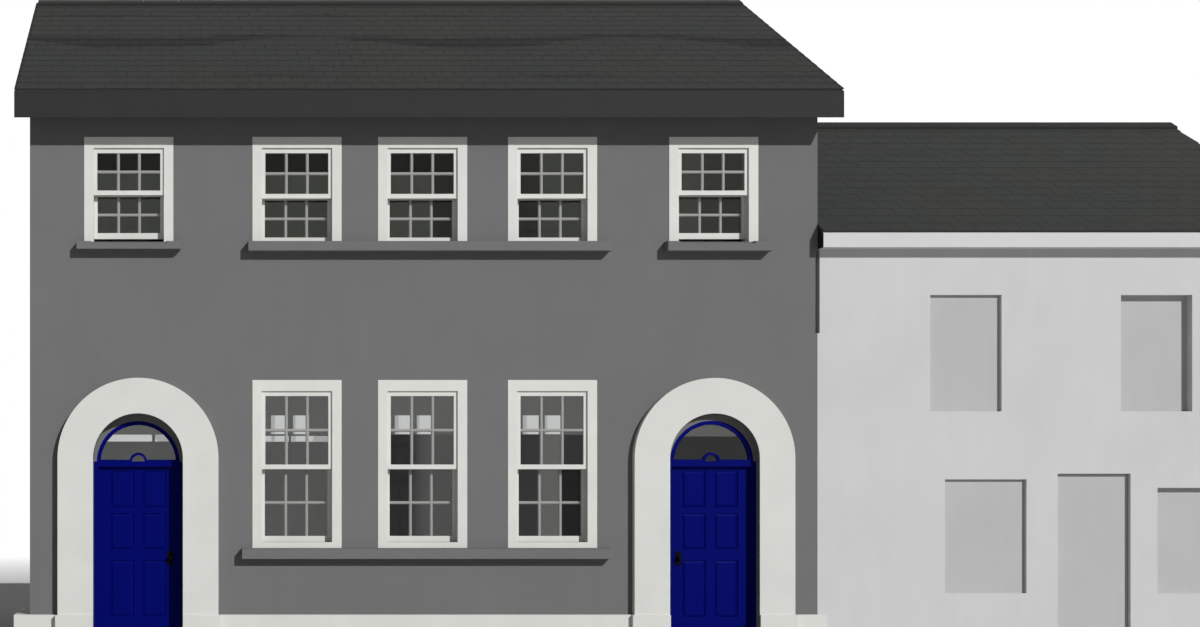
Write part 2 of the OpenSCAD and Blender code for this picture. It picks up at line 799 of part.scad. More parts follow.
module white_end_wall() place() color(wall_white) along_x(white_x1 - wall_t, white_x1,
    [[wall_t, 0], [house_d - wall_t, 0], [house_d - wall_t, white_head(wall_t)],
     [ridge_y, white_head(ridge_y)], [wall_t, white_head(wall_t)]]);

module white_rear_wall() place() color(wall_white) rear() difference() {
    white_wall(0);
    for (b = concat(blanks_up, blanks_low)) blank_hole(b);
}

module white_eaves_box() along_x(white_x0, white_x1,
    [[-white_eaves_reach, white_soffit_z], [0, white_soffit_z], [0, white_top(0) - slate_h],
     [-white_eaves_reach, white_eaves_z]]);

module white_eaves() place() color(paint_white) {
    white_eaves_box();
    rear() white_eaves_box();
}

module blank_panel(b) block(b[0], b[0] + b[2], b[4], b[4] + blank_t, b[1], b[1] + b[3]);

module white_blank_panels() place() color(wall_white) {
    for (b = concat(blanks_up, blanks_low)) blank_panel(b);
    rear() for (b = concat(blanks_up, blanks_low)) blank_panel(b);
}

module white_door() place() color(wall_white)
    translate([white_door_x0 - white_lap, white_door_back, leaf_z0]) {
        height = white_door_z + white_lap - leaf_z0;
        cube([white_door_w + 2 * white_lap, leaf_t, height]);
        hinges(height);
    }

module white_deck() along_x(white_x0, white_x1,
    [[0, white_top(0) - slate_h], [ridge_y, white_top(ridge_y) - slate_h],
     [ridge_y, white_under(ridge_y)], [0, white_under(0)]]);

module white_roof_front() place() color(timber) white_deck();

module white_roof_rear() place() color(timber) rear() white_deck();

module white_slate_slope() {
    y0 = -white_eaves_reach - slate_reach;
    y1 = ridge_y - SPLIT;
    along_x(white_x0, white_x1,
        [[y0, white_top(y0)], [y1, white_top(y1)], [y1, white_top(y1) - slate_t],
         [y0, white_top(y0) - slate_t]]);
}

module white_slates() place() color(slate_dark) {
    white_slate_slope();
    rear() white_slate_slope();
}

grey_front_piers();
grey_front_middle();
grey_front_arches();
grey_front_upper();
grey_end_wall();
party_wall();
grey_rear_wall();
ground_floors();
upper_floors();
plinth();
door_surrounds();
door_frames();
fanlight_rims();
fanlight_glass();
thresholds();
left_door();
left_door_handle();
right_door();
right_door_handle();
window_frames();
top_sashes();
bottom_sashes();
window_glass();
upper_sills();
lower_sill();
rear_window_frames();
rear_sashes();
rear_glass();
rear_sills();
grey_eaves();
grey_barge_boards();
grey_roof_front();
grey_roof_rear();
grey_slates();
ridge_tiles();
white_front_lower();
white_front_upper();
white_end_wall();
white_rear_wall();
white_eaves();
white_blank_panels();
white_door();
white_roof_front();
white_roof_rear();
white_slates();
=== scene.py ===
import math
import random

import bmesh
import bpy
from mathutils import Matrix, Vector


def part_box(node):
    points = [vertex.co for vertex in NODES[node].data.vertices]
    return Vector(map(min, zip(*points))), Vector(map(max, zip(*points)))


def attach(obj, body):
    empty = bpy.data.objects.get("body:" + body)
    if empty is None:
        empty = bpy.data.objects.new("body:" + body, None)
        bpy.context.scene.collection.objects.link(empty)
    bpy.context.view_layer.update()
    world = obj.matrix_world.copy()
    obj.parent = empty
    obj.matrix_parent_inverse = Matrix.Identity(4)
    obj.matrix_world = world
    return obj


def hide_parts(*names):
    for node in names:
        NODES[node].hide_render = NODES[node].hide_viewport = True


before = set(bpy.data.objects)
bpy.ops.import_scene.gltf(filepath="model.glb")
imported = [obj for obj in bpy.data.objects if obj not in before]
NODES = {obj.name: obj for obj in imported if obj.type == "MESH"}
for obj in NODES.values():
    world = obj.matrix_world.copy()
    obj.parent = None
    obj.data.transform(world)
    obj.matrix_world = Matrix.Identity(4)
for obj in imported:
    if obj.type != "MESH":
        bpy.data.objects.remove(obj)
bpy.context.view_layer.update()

# The looks of the terraced house row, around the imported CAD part.
# Metres, in the row's frame: X along the row, front towards -Y, Z up.

MM = 0.001
HOUSE = "house"
FRONT = -1
REAR = 1

# Camera: level, at a standing eye, with its lens shifted as the photograph's framing needs
EYE = (-5.769, -20.76, 1.602)
LEVEL_DEG = 90
LENS_MM = 47.52
SENSOR_MM = 36.0
SHIFT_X = 0.365
SHIFT_Y = 0.163
CLIP_END = 300.0

# Light: one sun from the upper right in front, and an even sky
SUN_TRAVELS = (-0.6, 1.0, -0.61)
SUN_STRENGTH = 3.05
SUN_ANGLE_DEG = 1.2
SKY_STRENGTH = 0.14
SHOWN_STRENGTH = 1.0
WHITE = (1.0, 1.0, 1.0, 1.0)

# Linear paint colours
GREY_WALL = (0.158, 0.158, 0.158)
WHITE_WALL = (0.577, 0.577, 0.577)
BLANK_WALL = (0.462, 0.462, 0.462)
PLASTER = (0.56, 0.55, 0.52)
STONE = (0.650, 0.655, 0.620)
ARCH_REVEAL = (0.16, 0.16, 0.155)
JOINERY = (0.665, 0.668, 0.631)
BAR_WHITE = (0.31, 0.313, 0.298)
BOARD = (0.029, 0.029, 0.029)
EAVES_WHITE = (0.610, 0.610, 0.608)
# Painted shade for the white eaves' left end
PAINTED_END_SHADE = (0.006, 0.006, 0.006)
SLATE_TONE = (0.0335, 0.0361, 0.0340)
SLATE_SHADE = (0.0125, 0.0135, 0.0128)
SLATE_MOSS = (0.040, 0.0405, 0.033)
# Paler than roof felt, as painted light, so the underlay's front edge at the eaves, less lit by
# the sun, looks no darker than the fascia
FELT = (0.060, 0.060, 0.060)
MORTAR = (0.034, 0.035, 0.034)
POINTING = (0.20, 0.20, 0.19)
BLUE = (0.0005, 0.0024, 0.126)
IRON = (0.003, 0.003, 0.004)
SOFTWOOD = (0.33, 0.22, 0.13)
FLOORING = (0.30, 0.19, 0.10)
OPEN_JOINT = (0.02, 0.015, 0.01)
CONCRETE = (0.27, 0.26, 0.24)
CARD = (0.52, 0.54, 0.53)
# Painted glow: the cards and rails give off a little light, though they are no lamp, so the bars'
# shadows on them stay faint
CARD_GLOW = 0.35
GLOW_TINT = (0.97, 1.0, 0.98, 1.0)
# Painted shade: the dark sheets behind the windows stand for the unlit rooms
SHADE_SHEET_TONE = (0.012, 0.0125, 0.012)

# The glass's tints on the ground storey and above
TINT_LOW = (1.0, 1.03, 0.99)
TINT_HIGH = (1.0, 1.06, 0.92)


# Shader helpers

# The part of a noise's range that most of it lies in, and a wider part
NOISE_LOW = 0.3
NOISE_HIGH = 0.7
NOISE_MID = 0.5
WIDE_LOW = 0.2
WIDE_HIGH = 0.8

# The name of each slate's or tile's own tone, which its mesh holds for each face
TONE_NAME = "tone"


def start(name, specular, roughness):
    """A new material, with its node tree and its shader."""
    made = bpy.data.materials.new(name)
    made.use_nodes = True
    tree = made.node_tree
    shader = tree.nodes["Principled BSDF"]
    shader.inputs["Specular IOR Level"].default_value = specular
    shader.inputs["Roughness"].default_value = roughness
    return made, tree, shader


def place_of(tree, scale=(1, 1, 1)):
    """The piece's own metres, scaled along each axis for grain or streaks."""
    at = tree.nodes.new("ShaderNodeTexCoord")
    scaled = tree.nodes.new("ShaderNodeMapping")
    scaled.inputs["Scale"].default_value = scale
    tree.links.new(at.outputs["Object"], scaled.inputs["Vector"])
    return scaled.outputs["Vector"]


def axes_of(tree):
    """The piece's own metres along X, Y and Z, each by itself."""
    split = tree.nodes.new("ShaderNodeSeparateXYZ")
    tree.links.new(place_of(tree), split.inputs[0])
    return split.outputs


def noise(tree, place, scale, detail=3.0, rough=0.55):
    made = tree.nodes.new("ShaderNodeTexNoise")
    made.inputs["Scale"].default_value = scale
    made.inputs["Detail"].default_value = detail
    made.inputs["Roughness"].default_value = rough
    tree.links.new(place, made.inputs["Vector"])
    return made.outputs["Fac"]


def put(tree, value, socket):
    """Sets a socket to a number or a plain colour, or links another socket to it."""
    if isinstance(value, (int, float)):
        socket.default_value = value
    elif isinstance(value, tuple):
        socket.default_value = value + (1.0,)
    else:
        tree.links.new(value, socket)


def maths(tree, kind, a, b=0.0, c=0.0):
    made = tree.nodes.new("ShaderNodeMath")
    made.operation = kind
    put(tree, a, made.inputs[0])
    put(tree, b, made.inputs[1])
    put(tree, c, made.inputs[2])
    return made.outputs[0]


def spread(tree, value, low, high, out_low=0.0, out_high=1.0):
    """The value's range from low to high drawn out over another range, and held at its ends."""
    made = tree.nodes.new("ShaderNodeMapRange")
    put(tree, value, made.inputs["Value"])
    made.inputs["From Min"].default_value = low
    made.inputs["From Max"].default_value = high
    made.inputs["To Min"].default_value = out_low
    made.inputs["To Max"].default_value = out_high
    return made.outputs["Result"]


def drawn_out(tree, value, out_low=0.0, out_high=1.0):
    """A noise drawn out over a whole range."""
    return spread(tree, value, NOISE_LOW, NOISE_HIGH, out_low, out_high)


def within(tree, axis, low, high):
    """1 where the axis lies from low to high."""
    return maths(tree, "COMPARE", axis, (low + high) / 2, (high - low) / 2)


def band(tree, axis, low, high, edge):
    """1 between low and high, and 0 outside, with edges that wide to each side."""
    rise = spread(tree, axis, low - edge, low + edge)
    fall = spread(tree, axis, high - edge, high + edge, 1.0, 0.0)
    return maths(tree, "MULTIPLY", rise, fall)


def blend(tree, share, under, over):
    """One colour over another, each a socket or a plain colour."""
    made = tree.nodes.new("ShaderNodeMix")
    made.data_type = "RGBA"
    put(tree, share, made.inputs["Factor"])
    first, second = [s for s in made.inputs if s.type == "RGBA"]
    put(tree, under, first)
    put(tree, over, second)
    return [s for s in made.outputs if s.type == "RGBA"][0]


def tinted(tint, tone):
    return tuple(c * tone for c in tint)


def shades(tree, share, colour, low, high):
    """The colour from low to high times its own brightness."""
    return blend(tree, share, tinted(colour, low), tinted(colour, high))


def times(tree, colour, share):
    """A colour socket times a number's socket."""
    made = tree.nodes.new("ShaderNodeVectorMath")
    made.operation = "SCALE"
    tree.links.new(colour, made.inputs[0])
    tree.links.new(share, made.inputs["Scale"])
    return made.outputs[0]


def paint(tree, shader, colour):
    tree.links.new(colour, shader.inputs["Base Color"])


def sheen(tree, shader, value, low, high):
    """Roughness from low to high, as a noise goes."""
    tree.links.new(drawn_out(tree, value, low, high), shader.inputs["Roughness"])


def relief(tree, shader, height, depth, strength=1.0):
    """Bump of that depth in metres, on top of what the shader already has."""
    made = tree.nodes.new("ShaderNodeBump")
    made.inputs["Distance"].default_value = depth
    made.inputs["Strength"].default_value = strength
    tree.links.new(height, made.inputs["Height"])
    before = shader.inputs["Normal"].links
    if before:
        tree.links.new(before[0].from_socket, made.inputs["Normal"])
    tree.links.new(made.outputs["Normal"], shader.inputs["Normal"])


# Boxes read from the frame

# Digits of a metre to which two corners are one, and to which two solids are in one row
KEY_DIGITS = 5
ROW_DIGITS = 3


def solids(name):
    """The box of each separate solid of a CAD node, lowest first and then from the left."""
    mesh = NODES[name].data
    keys = [tuple(round(c, KEY_DIGITS) for c in v.co) for v in mesh.vertices]
    above = {k: k for k in keys}

    def top(k):
        while above[k] != k:
            above[k] = above[above[k]]
            k = above[k]
        return k

    for face in mesh.polygons:
        first = keys[face.vertices[0]]
        for v in face.vertices:
            above[top(keys[v])] = top(first)
    groups = {}
    for k in above:
        groups.setdefault(top(k), []).append(k)
    boxes = []
    for points in groups.values():
        low = Vector([min(p[i] for p in points) for i in range(3)])
        high = Vector([max(p[i] for p in points) for i in range(3)])
        boxes.append((low, high))
    return sorted(boxes, key=lambda b: (round(b[0].z, ROW_DIGITS), b[0].x))


ROOMS = solids("ground_floors")
ROOM_TOPS = (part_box("grey_eaves")[1].z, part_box("white_eaves")[1].z)
CORNER_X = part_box("grey_front_upper")[0].x
WALL_FACE = {FRONT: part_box("grey_front_middle")[0].y, REAR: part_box("grey_rear_wall")[1].y}
SLATES_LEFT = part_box("grey_slates")[0].x
SLATES_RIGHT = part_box("grey_slates")[1].x


# Painted render on the walls, and plaster indoors. Noise scales are per metre in all materials.

ROOM_EDGE = 3 * MM
WALL_SPECULAR = 0.12
WALL_ROUGH = 0.9
WALL_GLOSSIER = 0.08
WALL_DULLER = 0.06
WALL_TONES = (0.955, 1.04)
PLASTER_TONES = (0.94, 1.05)
PATCH_SCALE = 1.1
PATCH_SHARE = 0.65
RUN_SCALE = 5.5
RUN_LONG = (1.0, 1.0, 0.18)
TROWEL_SCALE = 2.6
TROWEL_DEPTH = 4.0 * MM
SAND_SCALE = 340.0
SAND_DEPTH = 0.9 * MM


def indoors(tree):
    """1 on what faces the rooms, up to the eaves of their own house."""
    axis = axes_of(tree)
    found = None
    for (low, high), top in zip(ROOMS, ROOM_TOPS):
        in_x = within(tree, axis["X"], low.x - ROOM_EDGE, high.x + ROOM_EDGE)
        in_y = within(tree, axis["Y"], low.y - ROOM_EDGE, high.y + ROOM_EDGE)
        here = maths(tree, "MULTIPLY", in_x, in_y)
        here = maths(tree, "MULTIPLY", here, maths(tree, "LESS_THAN", axis["Z"], top))
        found = here if found is None else maths(tree, "MAXIMUM", found, here)
    return found


def masonry(name, colour):
    """Painted render: sand grain, a trowel's slow waves, faint mottling, and plaster indoors."""
    made, tree, shader = start(name, WALL_SPECULAR, WALL_ROUGH)
    place = place_of(tree)
    patches = noise(tree, place, PATCH_SCALE, detail=4.0)
    runs = noise(tree, place_of(tree, RUN_LONG), RUN_SCALE)
    runs = maths(tree, "MULTIPLY", runs, 1 - PATCH_SHARE)
    mottle = maths(tree, "MULTIPLY_ADD", patches, PATCH_SHARE, runs)
    outside = shades(tree, drawn_out(tree, mottle), colour, *WALL_TONES)
    inside = shades(tree, patches, PLASTER, *PLASTER_TONES)
    paint(tree, shader, blend(tree, indoors(tree), outside, inside))
    sand = noise(tree, place, SAND_SCALE, detail=2.0, rough=0.7)
    relief(tree, shader, noise(tree, place, TROWEL_SCALE, detail=2.0), TROWEL_DEPTH, strength=0.35)
    relief(tree, shader, sand, SAND_DEPTH, strength=0.45)
    rough = spread(tree, sand, WIDE_LOW, WIDE_HIGH,
                   WALL_ROUGH - WALL_GLOSSIER, WALL_ROUGH + WALL_DULLER)
    tree.links.new(rough, shader.inputs["Roughness"])
    return made


# Painted stucco: the plinth, surrounds and thresholds

STUCCO_SPECULAR = 0.15
STUCCO_ROUGH = 0.75
STUCCO_ROUGHS = (0.68, 0.82)
STUCCO_TONES = (0.965, 1.03)
STUCCO_CLOUD = 2.3
STUCCO_WAVE = 30.0
STUCCO_WAVE_DEPTH = 0.6 * MM
STUCCO_GRAIN = 420.0
STUCCO_GRAIN_DEPTH = 0.25 * MM
ARCH_EDGE = 1.5 * MM


def arch_inside(tree):
    """1 within the doorways' arched openings, with their edge."""
    axis = axes_of(tree)
    openings = solids("fanlight_rims")
    radius = (openings[0][1].x - openings[0][0].x) / 2
    spring = openings[0][1].z - radius
    away = None
    for low, high in openings:
        side = maths(tree, "ABSOLUTE", maths(tree, "SUBTRACT", axis["X"], (low.x + high.x) / 2))
        away = side if away is None else maths(tree, "MINIMUM", away, side)
    rise = maths(tree, "MAXIMUM", maths(tree, "SUBTRACT", axis["Z"], spring), 0.0)
    squares = maths(tree, "MULTIPLY_ADD", away, away, maths(tree, "MULTIPLY", rise, rise))
    return maths(tree, "LESS_THAN", squares, (radius + ARCH_EDGE) ** 2)


def painted_stone(name, colour, reveal=None):
    """Smooth painted stucco, darker grey inside the doorways' arches where asked."""
    made, tree, shader = start(name, STUCCO_SPECULAR, STUCCO_ROUGH)
    place = place_of(tree)
    cloud = noise(tree, place, STUCCO_CLOUD, detail=5.0)
    tone = shades(tree, drawn_out(tree, cloud), colour, *STUCCO_TONES)
    if reveal:
        tone = blend(tree, arch_inside(tree), tone, reveal)
    paint(tree, shader, tone)
    relief(tree, shader, noise(tree, place, STUCCO_WAVE), STUCCO_WAVE_DEPTH, strength=0.5)
    grain = noise(tree, place, STUCCO_GRAIN, detail=1.0)
    relief(tree, shader, grain, STUCCO_GRAIN_DEPTH, strength=0.4)
    sheen(tree, shader, cloud, *STUCCO_ROUGHS)
    return made


# Brushed paint on wood

BRUSH_DEPTH = 0.25 * MM
JOINERY_SPECULAR = 0.25
JOINERY_ROUGH = 0.45
WOOD_GLOSSIER = 0.07
WOOD_DULLER = 0.09
WOOD_TONES = (0.96, 1.03)
WOOD_CLOUD = 3.1
BRUSH_SCALE = 90.0
BRUSH_LONG = (3.0, 9.0, 1.0)
EAVES_SPECULAR = 0.15
EAVES_ROUGH = 0.6
EAVES_ROUGHS = (0.52, 0.68)
EAVES_TONES = (0.97, 1.03)
EAVES_CLOUD = 2.7
EAVES_BRUSH = 60.0
EAVES_BRUSH_LONG = (1.0, 9.0, 9.0)
PAINTED_SHADE_W = 4 * MM


def painted_timber(name, colour, specular=JOINERY_SPECULAR, roughness=JOINERY_ROUGH):
    """Brushed paint: faint upright strokes, and small changes of tone and sheen."""
    made, tree, shader = start(name, specular, roughness)
    strokes = noise(tree, place_of(tree, BRUSH_LONG), BRUSH_SCALE, detail=2.0)
    cloud = noise(tree, place_of(tree), WOOD_CLOUD)
    paint(tree, shader, shades(tree, drawn_out(tree, cloud), colour, *WOOD_TONES))
    relief(tree, shader, strokes, BRUSH_DEPTH, strength=0.5)
    sheen(tree, shader, strokes, roughness - WOOD_GLOSSIER, roughness + WOOD_DULLER)
    return made


def eaves_paint(name, colour):
    """The white eaves' paint, with painted shade, near black, on its left end against the taller
    house.
    """
    made, tree, shader = start(name, EAVES_SPECULAR, EAVES_ROUGH)
    cloud = noise(tree, place_of(tree), EAVES_CLOUD, detail=4.0)
    tone = shades(tree, drawn_out(tree, cloud), colour, *EAVES_TONES)
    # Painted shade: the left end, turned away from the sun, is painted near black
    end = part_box("white_eaves")[0].x
    shaded_end = maths(tree, "LESS_THAN", axes_of(tree)["X"], end + PAINTED_SHADE_W)
    paint(tree, shader, blend(tree, shaded_end, tone, PAINTED_END_SHADE))
    strokes = noise(tree, place_of(tree, EAVES_BRUSH_LONG), EAVES_BRUSH, detail=2.0)
    relief(tree, shader, strokes, BRUSH_DEPTH, strength=0.5)
    sheen(tree, shader, cloud, *EAVES_ROUGHS)
    return made


# Dark weather marks on the grey roof: a long one that swells and thins, and short thin ones,
# each with its height, left and right end

MARK_Z = 7.23
MARK_HALF = 0.13
MARK_SWELL = 0.375
MARK_RISE = 0.17
MARK_PERIOD = 4.0
MARK_THICK_X = -6.07
MARK_SHARE = 0.95
MARK_FADE = (1.2, 0.7)
MARK_RAGGED = 0.30
MARK_WANDER = 0.10
WANDER_SCALE = 0.9
LEVEL_ONLY = (1.0, 0.0, 0.0)
STREAK_HALF = 0.035
STREAK_FADE = (1.3, 0.5)
STREAK_RAGGED = 0.12
STREAK_SOFT = 0.35
STREAK_SHARE = 0.65
STREAKS = ((7.90, -7.3, -5.9), (7.90, -4.25, -3.35), (7.90, -2.7, -1.7),
           (6.54, -5.0, -4.05), (6.54, -1.75, -0.7), (6.54, 1.2, 1.7))
# Darker along both verges of the grey roof
VERGE_W = 35 * MM
VERGE_SHARE = 0.95
VERGES = ((SLATES_LEFT, SLATES_LEFT + VERGE_W), (SLATES_RIGHT - VERGE_W, SLATES_RIGHT))


def mark_offset(tree, level, height, ragged, amount):
    """How far a point lies from the middle of a mark with ragged edges."""
    off = maths(tree, "ABSOLUTE", maths(tree, "SUBTRACT", level, height))
    return maths(tree, "MULTIPLY_ADD", ragged, amount, off)


def long_mark(tree, axis, level, ragged):
    """A dark mark along the whole slope, thin where it rises."""
    turn = 2 * math.pi / MARK_PERIOD
    angle = maths(tree, "MULTIPLY_ADD", axis["X"], turn, -turn * MARK_THICK_X)
    swell = maths(tree, "COSINE", angle)
    middle = maths(tree, "MULTIPLY_ADD", swell, -MARK_RISE / 2, MARK_Z + MARK_RISE / 2)
    half = maths(tree, "MULTIPLY_ADD", swell,
                 MARK_HALF * MARK_SWELL, MARK_HALF * (1 - MARK_SWELL))
    off = mark_offset(tree, level, middle, ragged, MARK_RAGGED)
    mark = spread(tree, maths(tree, "DIVIDE", off, half), *MARK_FADE)
    return maths(tree, "MULTIPLY", mark, MARK_SHARE)


def short_mark(tree, axis, level, ragged, height, left, right):
    """A short thin dark mark along a course."""
    off = mark_offset(tree, level, height, ragged, STREAK_RAGGED)
    mark = spread(tree, off, STREAK_HALF * STREAK_FADE[0], STREAK_HALF * STREAK_FADE[1])
    along = band(tree, axis["X"], left, right, STREAK_SOFT)
    return maths(tree, "MULTIPLY", maths(tree, "MULTIPLY", mark, along), STREAK_SHARE)


def roof_darkening(tree, axis, ragged):
    """How dark the grey roof is, from 0 to 1: in its marks and along its verges."""
    wander = noise(tree, place_of(tree, LEVEL_ONLY), WANDER_SCALE)
    wander = maths(tree, "SUBTRACT", wander, NOISE_MID)
    level = maths(tree, "MULTIPLY_ADD", wander, MARK_WANDER, axis["Z"])
    dark = long_mark(tree, axis, level, ragged)
    for height, left, right in STREAKS:
        mark = short_mark(tree, axis, level, ragged, height, left, right)
        dark = maths(tree, "MAXIMUM", dark, mark)
    for low, high in VERGES:
        edge = maths(tree, "MULTIPLY", within(tree, axis["X"], low, high), VERGE_SHARE)
        dark = maths(tree, "MAXIMUM", dark, edge)
    return dark


# Slate

SLATE_SPECULAR = 0.10
SLATE_ROUGH = 0.8
SLATE_ROUGHS = (0.7, 0.9)
GREY_SLATE_SHARE = 0.84
RIVEN_SCALE = 34.0
RIVEN_LONG = (1.0, 0.5, 0.5)
RIVEN_DEPTH = 1.6 * MM
FLECK_TONES = (0.86, 1.14)
MOSS_SCALE = 0.55
MOSS_RANGE = (0.48, 0.66)
MOSS_SHARE = 0.6
RAIN_SCALE = 4.2
RAIN_LONG = (0.30, 3.0, 3.0)
RAIN_RANGE = (0.52, 0.72)
RAIN_SHARE = 0.35


def slate_material(name, share, marked=False):
    """Riven slate with a tone for each slate and mossy casts, and weather marks where asked."""
    made, tree, shader = start(name, SLATE_SPECULAR, SLATE_ROUGH)
    own = tree.nodes.new("ShaderNodeAttribute")
    own.attribute_name = TONE_NAME
    riven = noise(tree, place_of(tree, RIVEN_LONG), RIVEN_SCALE, detail=5.0, rough=0.6)
    moss = spread(tree, noise(tree, place_of(tree), MOSS_SCALE), *MOSS_RANGE)
    moss = maths(tree, "MULTIPLY", moss, MOSS_SHARE)
    tone = blend(tree, moss, tinted(SLATE_TONE, share), tinted(SLATE_MOSS, share))
    rain = noise(tree, place_of(tree, RAIN_LONG), RAIN_SCALE, detail=6.0, rough=0.65)
    dark = maths(tree, "MULTIPLY", spread(tree, rain, *RAIN_RANGE), RAIN_SHARE)
    if marked:
        ragged = maths(tree, "SUBTRACT", rain, NOISE_MID)
        dark = maths(tree, "MAXIMUM", dark, roof_darkening(tree, axes_of(tree), ragged))
    fleck = drawn_out(tree, riven, *FLECK_TONES)
    light = maths(tree, "MULTIPLY", own.outputs["Fac"], fleck)
    paint(tree, shader, times(tree, blend(tree, dark, tone, SLATE_SHADE), light))
    relief(tree, shader, riven, RIVEN_DEPTH, strength=0.6)
    sheen(tree, shader, riven, *SLATE_ROUGHS)
    return made


# Boards: the roof decks and the upper floors

DECK_BOARD_W = 0.14
FLOOR_BOARD_W = 0.12
BOARD_SPECULAR = 0.2
BOARD_ROUGH = 0.6
BOARD_ROUGHS = (0.5, 0.72)
BOARD_TONES = (0.62, 1.3)
BOARD_GRAIN = 6.0
BOARD_LONG = (0.6, 14.0, 14.0)
BOARD_GRAIN_DEPTH = 0.5 * MM
GRAIN_SHARE = 0.6
JOINT_RANGE = (0.485, 0.495)
JOINT_DEPTH = 3.0 * MM
POINTED_W = 15 * MM


def boards(name, colour, width):
    """Planed boards with a tone each, open joints and long grain, and a pointed right verge."""
    made, tree, shader = start(name, BOARD_SPECULAR, BOARD_ROUGH)
    axis = axes_of(tree)
    across = maths(tree, "DIVIDE", axis["Y"], width)
    own = tree.nodes.new("ShaderNodeTexWhiteNoise")
    own.noise_dimensions = "1D"
    tree.links.new(maths(tree, "FLOOR", across), own.inputs["W"])
    grain = noise(tree, place_of(tree, BOARD_LONG), BOARD_GRAIN, detail=5.0, rough=0.6)
    plain = maths(tree, "MULTIPLY", own.outputs["Value"], 1 - GRAIN_SHARE)
    both = maths(tree, "MULTIPLY_ADD", grain, GRAIN_SHARE, plain)
    off = maths(tree, "ABSOLUTE", maths(tree, "SUBTRACT", maths(tree, "FRACT", across), 0.5))
    gap = spread(tree, off, *JOINT_RANGE)
    tone = blend(tree, gap, shades(tree, both, colour, *BOARD_TONES), OPEN_JOINT)
    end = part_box("white_roof_front")[1].x
    verge = maths(tree, "GREATER_THAN", axis["X"], end - POINTED_W)
    paint(tree, shader, blend(tree, verge, tone, POINTING))
    relief(tree, shader, maths(tree, "SUBTRACT", 1.0, gap), JOINT_DEPTH)
    relief(tree, shader, grain, BOARD_GRAIN_DEPTH, strength=0.6)
    rough = spread(tree, grain, WIDE_LOW, WIDE_HIGH, *BOARD_ROUGHS)
    tree.links.new(rough, shader.inputs["Roughness"])
    return made


# Floated concrete, black ironwork, and matt surfaces: card with a painted glow, dark sheets of
# painted shade, felt and mortar

CONCRETE_SPECULAR = 0.15
CONCRETE_ROUGH = 0.85
CONCRETE_ROUGHS = (0.75, 0.93)
CONCRETE_TONES = (0.75, 1.25)
CONCRETE_CLOUD = 1.7
FLOAT_SCALE = 55.0
FLOAT_DEPTH = 0.8 * MM
IRON_SPECULAR = 0.03
IRON_ROUGH = 0.45
IRON_ROUGHS = (0.35, 0.55)
IRON_TONES = (0.6, 1.5)
IRON_SPOTS = 160.0
IRON_DEPTH = 0.15 * MM
MATT_SPECULAR = 0.05
MATT_ROUGH = 0.95
MATT_ROUGHS = (0.88, 1.0)
MATT_TONES = (0.93, 1.06)
MATT_CLOUD = 4.0
TOOTH_SCALE = 260.0
TOOTH_DEPTH = 0.3 * MM


def concrete(name):
    made, tree, shader = start(name, CONCRETE_SPECULAR, CONCRETE_ROUGH)
    place = place_of(tree)
    cloud = noise(tree, place, CONCRETE_CLOUD, detail=6.0, rough=0.6)
    paint(tree, shader, shades(tree, cloud, CONCRETE, *CONCRETE_TONES))
    relief(tree, shader, noise(tree, place, FLOAT_SCALE, detail=4.0), FLOAT_DEPTH, strength=0.5)
    sheen(tree, shader, cloud, *CONCRETE_ROUGHS)
    return made


def ironwork(name):
    made, tree, shader = start(name, IRON_SPECULAR, IRON_ROUGH)
    spots = noise(tree, place_of(tree), IRON_SPOTS)
    paint(tree, shader, shades(tree, spots, IRON, *IRON_TONES))
    relief(tree, shader, spots, IRON_DEPTH, strength=0.5)
    sheen(tree, shader, spots, *IRON_ROUGHS)
    return made


def matt(name, colour, glow=0.0):
    """A matt surface with a fine tooth, which gives off a little light as a painted glow where
    asked.
    """
    made, tree, shader = start(name, MATT_SPECULAR, MATT_ROUGH)
    shader.inputs["Emission Color"].default_value = GLOW_TINT
    shader.inputs["Emission Strength"].default_value = glow
    place = place_of(tree)
    tooth = noise(tree, place, TOOTH_SCALE, detail=2.0)
    paint(tree, shader, shades(tree, noise(tree, place, MATT_CLOUD), colour, *MATT_TONES))
    relief(tree, shader, tooth, TOOTH_DEPTH, strength=0.5)
    sheen(tree, shader, tooth, *MATT_ROUGHS)
    return made


# Window glass, whose tones are painted reflections and painted shade of the rooms behind. A pane
# has two faces, and each sends back its part of the tone that is seen.

GLASS_SPECULAR = 0.5
GLASS_ROUGH = 0.1
GLASS_ROUGHS = (0.07, 0.12)
GLASS_ALPHA = 0.20
GLASS_SEEN = 0.32
BEHIND_GLASS = 0.002
FILM_SCALE = 1.9
FILM_TONES = (0.95, 1.05)
WAVE_SCALE = 7.0
WAVE_DEPTH = 1.2 * MM

# Painted pane tones, for reflections and the rooms' shade behind, from the darkest to the palest
PANE_PAINTED_BLACK = 0.017
PANE_PAINTED_DARK = 0.023
PANE_PAINTED_DIM = 0.033
PANE_PAINTED_DUSK = 0.045
PANE_PAINTED_SOFT = 0.074
PANE_PAINTED_MID = 0.083
PANE_PAINTED_PALE = 0.102
PANE_PAINTED_CLEAR = 0.106

# Heights that the tones change at, and how soft their edges are
LOW_SILL_Z = 1.1
CEILING_Z = 2.45
LOW_HEAD_Z = 3.1
STOREY_Z = 3.6
HIGH_SILL_Z = 4.6
HIGH_HEAD_Z = 6.0
CRISP = 4 * MM
SOFTER = 30 * MM
SOFTEST = 130 * MM
